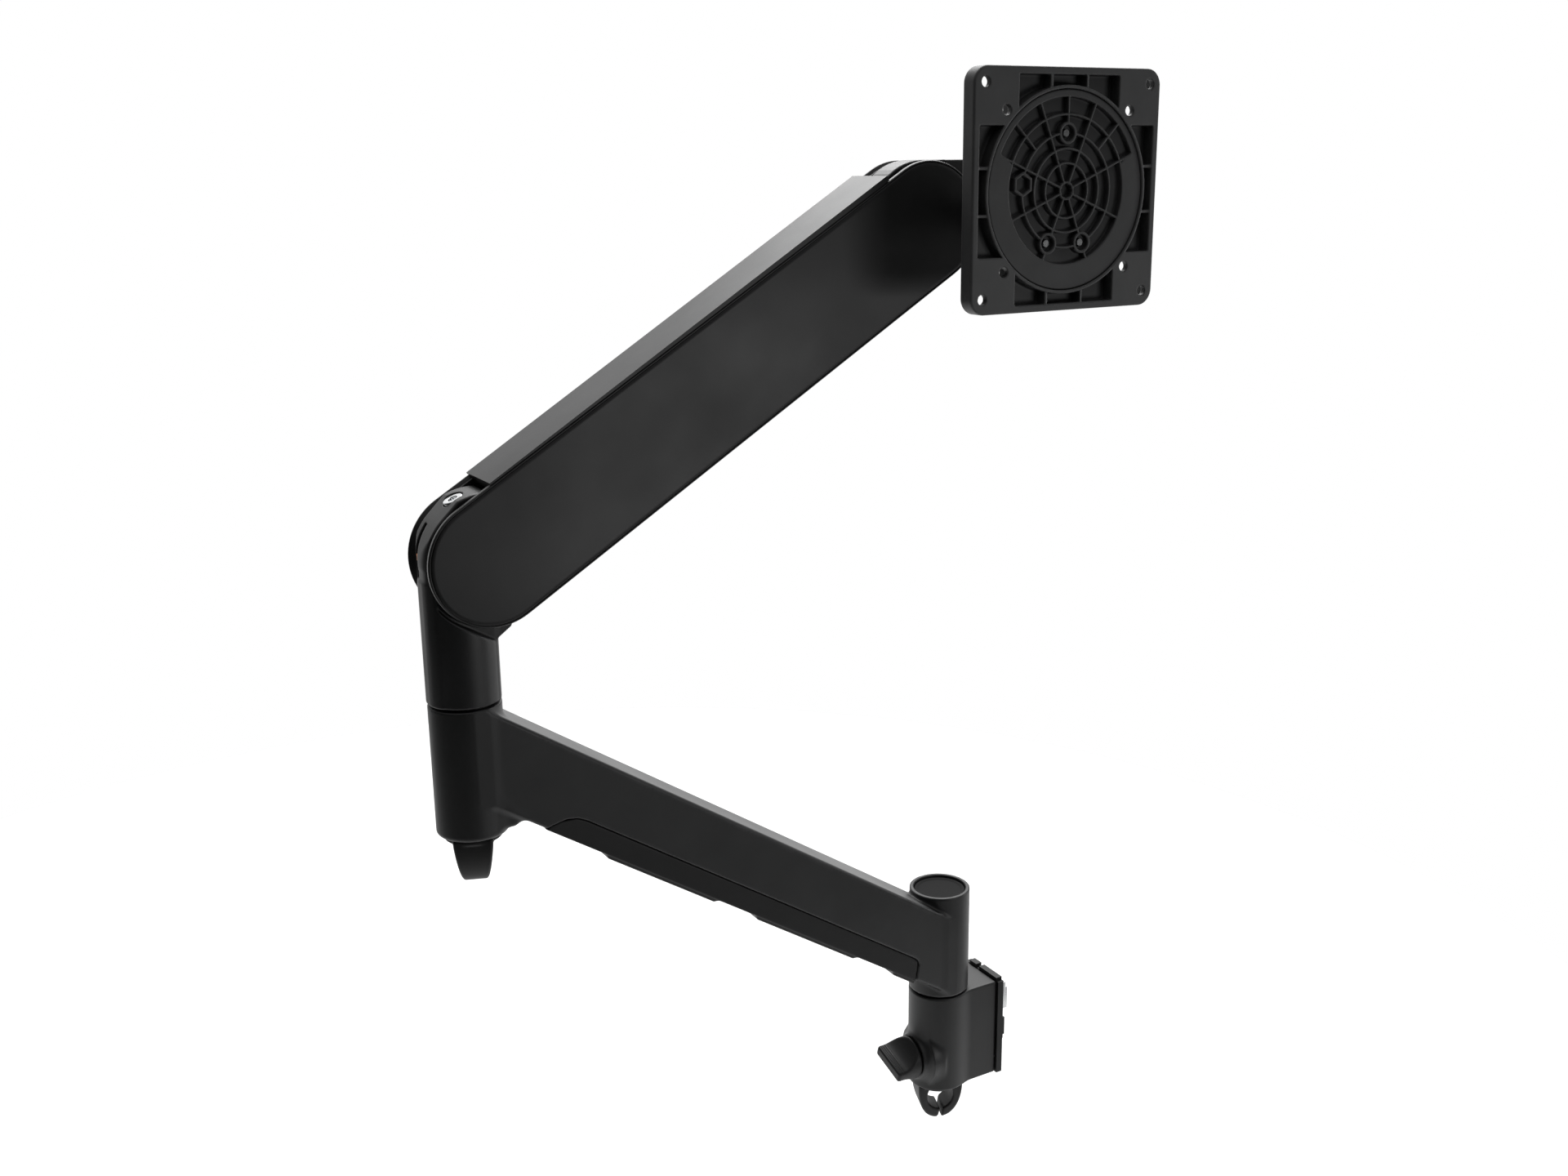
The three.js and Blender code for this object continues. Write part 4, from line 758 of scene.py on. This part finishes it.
def knuckle(x, y, z):
    dx, dz = x - PIVOT_X, z - PIVOT_Z
    axis = far(x - ELBOW_X, y)
    column = drum(axis, z, KNUCKLE_LOW, PIVOT_Z - COLUMN_DROP, TUBE_R, 0.7)
    column = cut(1.2, column, np.maximum(outline(dx, dz, SWEEP_LINE), TONGUE_HALF - np.abs(y)))
    tongue = edge_round(outline(dx, dz, TONGUE_LINE), np.abs(y) - TONGUE_HALF, 1.1)
    root = edge_round(within(dx, -40, ELBOW_X + ROOT_BACK - PIVOT_X), ROOT_LOW - dz, 1)
    crest = edge_round(within(dx, -40, SWEEP_FAR), CREST_LOW - dz, 1)
    tongue = meet(0.8, tongue, join(2, axis - TUBE_R, root, crest))
    body = join(1.5, column, tongue)
    along, across = on_screw(dx, dz)
    screw_axis = far(across, y)
    reach = far(dx, dz)
    span = within(np.degrees(np.arctan2(dz, dx)), GROOVE_FROM, GROOVE_TO) * 0.5
    groove = np.maximum(np.maximum(GROOVE_R - reach, span), np.abs(y - GROOVE_Y) - GROOVE_HALF)
    return cut(
        0.5, body,
        np.maximum(outline(dx, dz, CAVITY_LINE), np.abs(y) - CAVITY_HALF),
        drum(axis, z, KNUCKLE_LOW - BEYOND, ELBOW_BORE_TOP, ELBOW_BORE_R),
        drum(reach, y, -ASIDE, ASIDE, STUB_BORE_R),
        drum(far(dx, dz + LINK_DROP), y, -ASIDE, ASIDE, PIN_BORE_R),
        drum(screw_axis, along, SCREW_BORE_FROM, SEAT_TO, SCREW_BORE_R),
        drum(screw_axis, along, SEAT_FROM, SEAT_TO, SEAT_R),
        groove,
    )


cast("knuckle_cast", knuckle, 0.55, "knuckle", "elbow_knuckle", POWDER)

# ------------------------------------------------------------------ tension screw

SCREW_HEAD_FROM = 28.9   # places along the screw, from the pivot
SCREW_HEAD_TO = 31.6
SHANK_FROM = 5
HEX_FROM = 29.6
SCREW_HEAD_R = 4.8
SHANK_R = 2.4
HEX_HALF = 2.2


def tension_screw(x, y, z):
    along, across = on_screw(x - PIVOT_X, z - PIVOT_Z)
    axis = far(across, y)
    head = drum(axis, along, SCREW_HEAD_FROM, SCREW_HEAD_TO, SCREW_HEAD_R, 0.5)
    shank = drum(axis, along, SHANK_FROM, SCREW_HEAD_FROM + 0.6, SHANK_R, 0.3)
    return cut(0.15, join(0.4, head, shank), np.maximum(hexagon(across, y) - HEX_HALF, HEX_FROM - along))


cast("tension_bolt", tension_screw, 0.3, "tension_screw", "tension_screw", ZINC)

# ------------------------------------------------------------------ side covers

COVER_R = 30.5
COVER_FACE = 16.1
COVER_BACK = 13.6
ROUND_STEPS = 40
STRAIGHT_STEPS = 24
CROWN_STEPS = 16
CROWN = 0.18             # the face rises this much from its edge to its middle
CROWN_FROM = 1.7
CROWN_LONG = COVER_R - 7.7
# The rim and the fine groove inside it: distance in from the edge, and depth below the face.
RIM = ((0, 1.0), (0.15, 0.55), (0.5, 0.22), (0.8, 0.2), (0.9, 0.3), (0.95, 0.8), (1.3, 0.8), (1.38, 0.35),
       (CROWN_FROM, CROWN))


def link_point(along, up, y):
    """A point of the upper arm's own frame: along from the elbow towards the head."""
    return (PIVOT_X - along * math.cos(LINK_TILT) + up * math.sin(LINK_TILT), y,
            PIVOT_Z + along * math.sin(LINK_TILT) + up * math.cos(LINK_TILT))


def capsule_ring(radius, y):
    """The points of a long round-ended ring round both ends of the upper arm."""
    turns = [math.pi * step / ROUND_STEPS for step in range(ROUND_STEPS + 1)]
    elbow_end = [(-math.sin(turn) * radius, -math.cos(turn) * radius) for turn in turns]
    top = [(LINK_LENGTH * step / STRAIGHT_STEPS, radius) for step in range(1, STRAIGHT_STEPS)]
    head_end = [(LINK_LENGTH + math.sin(turn) * radius, math.cos(turn) * radius) for turn in turns]
    bottom = [(LINK_LENGTH * (1 - step / STRAIGHT_STEPS), -radius) for step in range(1, STRAIGHT_STEPS)]
    return [link_point(along, up, y) for along, up in elbow_end + top + head_end + bottom]


def cover_profile():
    """Distance in from the edge, and place across the arm, from the back round the rim to the middle."""
    profile = [(COVER_R - 0.1, COVER_BACK), (0, COVER_BACK)]
    profile += [(inset, COVER_FACE - depth) for inset, depth in RIM]
    for step in range(1, CROWN_STEPS + 1):
        share = step / CROWN_STEPS
        rise = CROWN * math.sin(share * math.pi / 2)
        profile.append((CROWN_FROM + CROWN_LONG * share, COVER_FACE - CROWN + rise))
    return profile


def side_cover(name, node, side):
    rings = [capsule_ring(COVER_R - inset, side * y) for inset, y in cover_profile()]
    count = len(rings[0])
    last = (len(rings) - 1) * count
    faces = []
    for start in range(0, last, count):
        for index in range(count):
            after = (index + 1) % count
            faces.append((start + index, start + after, start + count + after, start + count + index))
    faces += [tuple(range(count))[::-1], tuple(range(last, last + count))]
    if side > 0:
        faces = [face[::-1] for face in faces]
    mesh = bpy.data.meshes.new(name)
    mesh.from_pydata([tuple(np.array(point) * MM) for ring in rings for point in ring], [], faces)
    place(new_thing(name, mesh), "upper_link", node, COVER)


side_cover("cover_near", "near_cover", 1)
side_cover("cover_far", "far_cover", -1)

# ------------------------------------------------------------------ head
# Its outlines are drawn round the pivot of the head.

PAN = PAN_X - HEAD_X
HEAD_R = 30.7            # the head's tongue, seen past the end of the top strip
HEAD_SHOULDER = -0.1
HEAD_HALF = 7.7
WIDE_R = 25.8            # the head where it works under the strip
WIDE_SHOULDER = -12
LUG_LOW = -22
LUG_R = 11
MOUTH_LOW = -12
MOUTH_HIGH = 15
HEAD_CAVITY = [(-9, -10), (8, -6), (40, 14), (40, -40), (4, -30), (-9, -26.5)]
HEAD_CAVITY_HALF = 5.2
PAN_BORE_R = 4.3
PAN_HEAD_R = 7.2
PAN_HEAD_DEEP = 4
PAN_REACH = 40


def head_line(radius, shoulder):
    crown = [(PAN, HEAD_R), (shoulder, HEAD_R), (shoulder, min(HEAD_R, radius) - 0.01)]
    return crown + arc(radius, 90, -60, 24) + [(-14, LUG_LOW - 2), (PAN, LUG_LOW)]


def head(x, y, z):
    dx, dz = x - HEAD_X, z - HEAD_Z
    tongue = edge_round(outline(dx, dz, head_line(HEAD_R, HEAD_SHOULDER)), np.abs(y) - HEAD_HALF, 0.9)
    wide = edge_round(outline(dx, dz, head_line(WIDE_R, WIDE_SHOULDER)), np.abs(y) - TONGUE_HALF, 1.1)
    pan_axis = far(dx - PAN, y)
    lug = drum(pan_axis, dz, LUG_LOW, HEAD_R, LUG_R, 1.1)
    mouth = block(dx, y, dz, (PAN - 20, -ASIDE, MOUTH_LOW), (PAN + LUG_R + 0.8, ASIDE, MOUTH_HIGH), 1.2)
    return cut(
        0.5, join(1.5, tongue, wide, lug), mouth,
        np.maximum(outline(dx, dz, HEAD_CAVITY), np.abs(y) - HEAD_CAVITY_HALF),
        drum(far(dx, dz), y, -ASIDE, ASIDE, STUB_BORE_R),
        drum(far(dx, dz + LINK_DROP), y, -ASIDE, ASIDE, PIN_BORE_R),
        drum(pan_axis, dz, -PAN_REACH, PAN_REACH, PAN_BORE_R),
        drum(pan_axis, dz, HEAD_R - PAN_HEAD_DEEP, PAN_REACH, PAN_HEAD_R),
    )


cast("head_cast", head, 0.6, "head", "head_knuckle", POWDER)

# ------------------------------------------------------------------ hub disc
# Angles are in degrees, as seen from in front, where +X is to the left.

DISC_BACK, DISC_FACE = (limit[1] for limit in extent("hub_disc"))
DISC_R = 47.2
WELL_DEEP = 3.6
WELL_R = 39.4            # between its radius above and its radius below
WELL_WIDER = 4.4         # half of what it is wider above
WELL_STEP_AT = 22
RIB_HALF = 0.5
RIB_RINGS = (13.0, 19.8, 27.0, 35.7)
SPOKES = [22.5 + 45 * index for index in range(8)]
OUTER_SPOKES = (45, 90, 135)
OUTER_SPOKE_FROM = 27
HUB_R = 4.0
HUB_BORE_R = 3.2
SCREW_RING = 27
SCREW_ANGLES = (90, 247, 293)
SCREW_BOSS_R = 5.2
SCREW_RECESS_R = 3.9
SCREW_HOLE_R = 2
RECESS_FLOOR = 0.6
HEX_ANGLE = 173
HEX_RING = 26.7
HEX_BOSS = 5.2
HEX_WELL = 3.9


def turned(degrees, dx, dz):
    """A place ahead along a direction, and across it."""
    turn = math.radians(degrees)
    return dx * math.cos(turn) + dz * math.sin(turn), -dx * math.sin(turn) + dz * math.cos(turn)


def spoke(degrees, start, dx, dz):
    ahead, across = turned(degrees, dx, dz)
    return np.maximum(np.abs(across) - RIB_HALF, start - ahead)


def on_ring(degrees, radius):
    turn = math.radians(degrees)
    return radius * math.cos(turn), radius * math.sin(turn)


def hub_web(dx, dz, out, screws):
    """The ribs and bosses that stand in the well."""
    lines = [np.abs(out - radius) - RIB_HALF for radius in RIB_RINGS]
    lines += [spoke(degrees, 0, dx, dz) for degrees in SPOKES]
    lines += [spoke(degrees, OUTER_SPOKE_FROM, dx, dz) for degrees in OUTER_SPOKES]
    hex_x, hex_z = on_ring(HEX_ANGLE, HEX_RING)
    hex_boss = hexagon(dx - hex_x, dz - hex_z)
    lines += [np.abs(out - HUB_R) - RIB_HALF, screws - SCREW_BOSS_R, hex_boss - HEX_BOSS]
    web = np.minimum.reduce(lines)
    return np.maximum(web, np.maximum(HEX_WELL - hex_boss, HUB_BORE_R - out))


def hub_disc(x, y, z):
    dx, dz = PLATE_X - x, z - PLATE_Z
    out = far(dx, dz)
    angle = np.degrees(np.arctan2(dz, dx))
    disc = drum(out, y, DISC_BACK, DISC_FACE, DISC_R, 0.5)
    above = np.clip(np.minimum(angle - WELL_STEP_AT, 180 - WELL_STEP_AT - angle) * 0.6, -1, 1)
    floor = DISC_FACE - WELL_DEEP
    well = edge_round(out - (WELL_R + WELL_WIDER * above), floor - y, 0.4)
    centres = [on_ring(degrees, SCREW_RING) for degrees in SCREW_ANGLES]
    screws = np.minimum.reduce([far(dx - cx, dz - cz) for cx, cz in centres])
    well = np.maximum(well, -hub_web(dx, dz, out, screws))
    recess = np.maximum(screws - SCREW_RECESS_R, floor + RECESS_FLOOR - y)
    return cut(0.3, cut(0.35, disc, well), recess, screws - SCREW_HOLE_R)


cast("ribbed_disc", hub_disc, 0.42, "tilt", "hub_disc", RIBBED)

# ------------------------------------------------------------------ monitor plate

PLATE_LOW, PLATE_HIGH = extent("monitor_plate")
PLATE_BACK, PLATE_FRONT = PLATE_LOW[1], PLATE_HIGH[1]
HALF_X = (PLATE_HIGH[0] - PLATE_LOW[0]) / 2
HALF_Z = (PLATE_HIGH[2] - PLATE_LOW[2]) / 2
PLATE_CORNER = 8
SEAT_RIM_R = 47.6
SEAT_DEEP = 5.9
SPIGOT_R = 40
RING_R = 49.2            # outer edge of the ring round the disc
PLATE_RIM = 3.5
POCKET_HALF = 30.5
POCKET_FROM = 20
POCKET_FLOOR = 2
CROSS_RIB_AT = 11
CROSS_RIB_HALF = 0.7
CROSS_RIB_LOW = 0.5
SKIN = 3.3               # thickness of the corners, which are hollow behind
HOLLOW_LOW = 33.5
HOLLOW_X = 54.2
HOLLOW_Z = 54.9
HOLE_PATTERNS = (50, 37.5)           # half the spacing of the screw squares
HOLE_R = 2.5


def monitor_plate(x, y, z):
    dx, dz = np.abs(x - PLATE_X), np.abs(z - PLATE_Z)
    out = far(dx, dz)
    square = edge_round(dx - HALF_X, dz - HALF_Z, PLATE_CORNER)
    body = edge_round(square, within(y, PLATE_BACK, PLATE_FRONT), 0.9)
    seat = edge_round(out - SEAT_RIM_R, PLATE_FRONT - SEAT_DEEP - y, 0.3)
    body = cut(0.4, body, seat, drum(out, y, PLATE_BACK - BEYOND, PLATE_FRONT, SPIGOT_R))
    outside_ring = RING_R - out
    for wide, outward, half in ((dx, dz, HALF_Z), (dz, dx, HALF_X)):
        pocket = edge_round(wide - POCKET_HALF, within(outward, POCKET_FROM, half - PLATE_RIM), 0.8)
        ribs = np.maximum(np.abs(wide - CROSS_RIB_AT) - CROSS_RIB_HALF, y - PLATE_FRONT + CROSS_RIB_LOW)
        pocket = np.maximum(np.maximum(pocket, outside_ring), -ribs)
        body = cut(0.4, body, edge_round(pocket, PLATE_BACK + POCKET_FLOOR - y, 0.5))
    hollow = edge_round(within(dx, HOLLOW_LOW, HOLLOW_X), within(dz, HOLLOW_LOW, HOLLOW_Z), 2)
    body = cut(0.4, body, np.maximum(np.maximum(hollow, outside_ring), y - PLATE_FRONT + SKIN))
    for half in HOLE_PATTERNS:
        body = cut(0.4, body, far(dx - half, dz - half) - HOLE_R)
    return body


cast("screw_plate", monitor_plate, 0.6, "plate", "monitor_plate", PLATE)

# ------------------------------------------------------------------ floor, in metres

FLOOR_Z = -0.25
FLOOR_R = 0.95
FLOOR_AT = (0.1, -0.45)
FLOOR_SIDES = 96

rim = [(FLOOR_AT[0] + FLOOR_R * math.cos(a), FLOOR_AT[1] + FLOOR_R * math.sin(a), FLOOR_Z)
       for a in np.linspace(0, 2 * math.pi, FLOOR_SIDES + 1)[:-1]]
floor_mesh = bpy.data.meshes.new("floor")
floor_mesh.from_pydata(rim, [], [tuple(range(len(rim)))])
floor = bpy.data.objects.new("floor", floor_mesh)
bpy.context.scene.collection.objects.link(floor)
paper, paper_tree, paper_shader = node_tree("paper")
paper_spot = paper_tree.nodes.new("ShaderNodeTexCoord").outputs["Object"]
paper_tone = mix(paper_tree, noise(paper_tree, paper_spot, 3, 2), (0.88, 0.88, 0.88), (0.92, 0.92, 0.92))
paper_tree.links.new(paper_tone, paper_shader.inputs["Base Color"])
paper_shader.inputs["Roughness"].default_value = 0.9
floor.data.materials.append(paper)

# ------------------------------------------------------------------ lights, in metres and watts


def softbox(name, at, aim, size, size_y, power):
    data = bpy.data.lights.new(name, "AREA")
    data.shape = "RECTANGLE"
    data.size = size
    data.size_y = size_y
    data.energy = power
    lamp = bpy.data.objects.new(name, data)
    lamp.location = at
    lamp.rotation_mode = "QUATERNION"
    lamp.rotation_quaternion = (Vector(aim) - Vector(at)).to_track_quat("-Z", "Y")
    bpy.context.scene.collection.objects.link(lamp)


CENTRE = (0.17, 0, 0.25)
UPPER_ARM = (0.2, 0, 0.42)
softbox("overhead", at=(-0.6, -1.0, 1.8), aim=CENTRE, size=1.6, size_y=1.3, power=45)
softbox("front", at=(-0.42, 1.25, 0.14), aim=UPPER_ARM, size=0.55, size_y=0.3, power=3.0)
softbox("left", at=(-1.5, 0.42, 0.3), aim=CENTRE, size=0.3, size_y=1.3, power=6)

# The room: a bright backdrop behind the arm and above it, dim in front of it. The camera sees plain white.
BACK = Vector((-0.45, -0.893, 0.0))
DIM = 0.03
BACKDROP = 1.5
CEILING = 0.8
world = bpy.data.worlds.new("studio")
bpy.context.scene.world = world
world.use_nodes = True
room = world.node_tree
toward = room.nodes.new("ShaderNodeTexCoord").outputs["Generated"]
behind = room.nodes.new("ShaderNodeVectorMath")
behind.operation = "DOT_PRODUCT"
behind.inputs[1].default_value = BACK
room.links.new(toward, behind.inputs[0])
split = room.nodes.new("ShaderNodeSeparateXYZ")
room.links.new(toward, split.inputs[0])
backdrop = ramp(room, behind.outputs["Value"], 0.25, 1.0, DIM, BACKDROP)
ceiling = ramp(room, split.outputs["Z"], 0.3, 1.0, 0.0, CEILING)
strength = room.nodes.new("ShaderNodeMix")
room.links.new(room.nodes.new("ShaderNodeLightPath").outputs["Is Camera Ray"], strength.inputs["Factor"])
room.links.new(combine(room, "ADD", backdrop, ceiling), strength.inputs["A"])
strength.inputs["B"].default_value = 1.0
room.links.new(strength.outputs["Result"], room.nodes["Background"].inputs["Strength"])
room.nodes["Background"].inputs["Color"].default_value = (1, 1, 1, 1)

# ------------------------------------------------------------------ camera

LENS = 36.475
SENSOR = 36
CAMERA_OUT = 494.6       # from the base axis, in mm
CAMERA_FRONT = 692.75
CAMERA_UP = 498.2
PITCH = math.radians(14.85)
ROLL = math.radians(-0.74)
HEADING = (-0.49379, -0.86958)       # direction of view on the ground

camera_data = bpy.data.cameras.new("camera")
camera_data.lens = LENS
camera_data.sensor_width = SENSOR
camera_data.clip_start = 0.05
camera = bpy.data.objects.new("camera", camera_data)
camera.location = ((BASE_X + CAMERA_OUT) * MM, CAMERA_FRONT * MM, CAMERA_UP * MM)
forward = Vector((HEADING[0] * math.cos(PITCH), HEADING[1] * math.cos(PITCH), -math.sin(PITCH)))
camera.rotation_mode = "QUATERNION"
camera.rotation_quaternion = forward.to_track_quat("-Z", "Y") @ Quaternion((0, 0, 1), ROLL)
bpy.context.scene.collection.objects.link(camera)
bpy.context.scene.camera = camera
bpy.context.scene.view_settings.view_transform = "Standard"
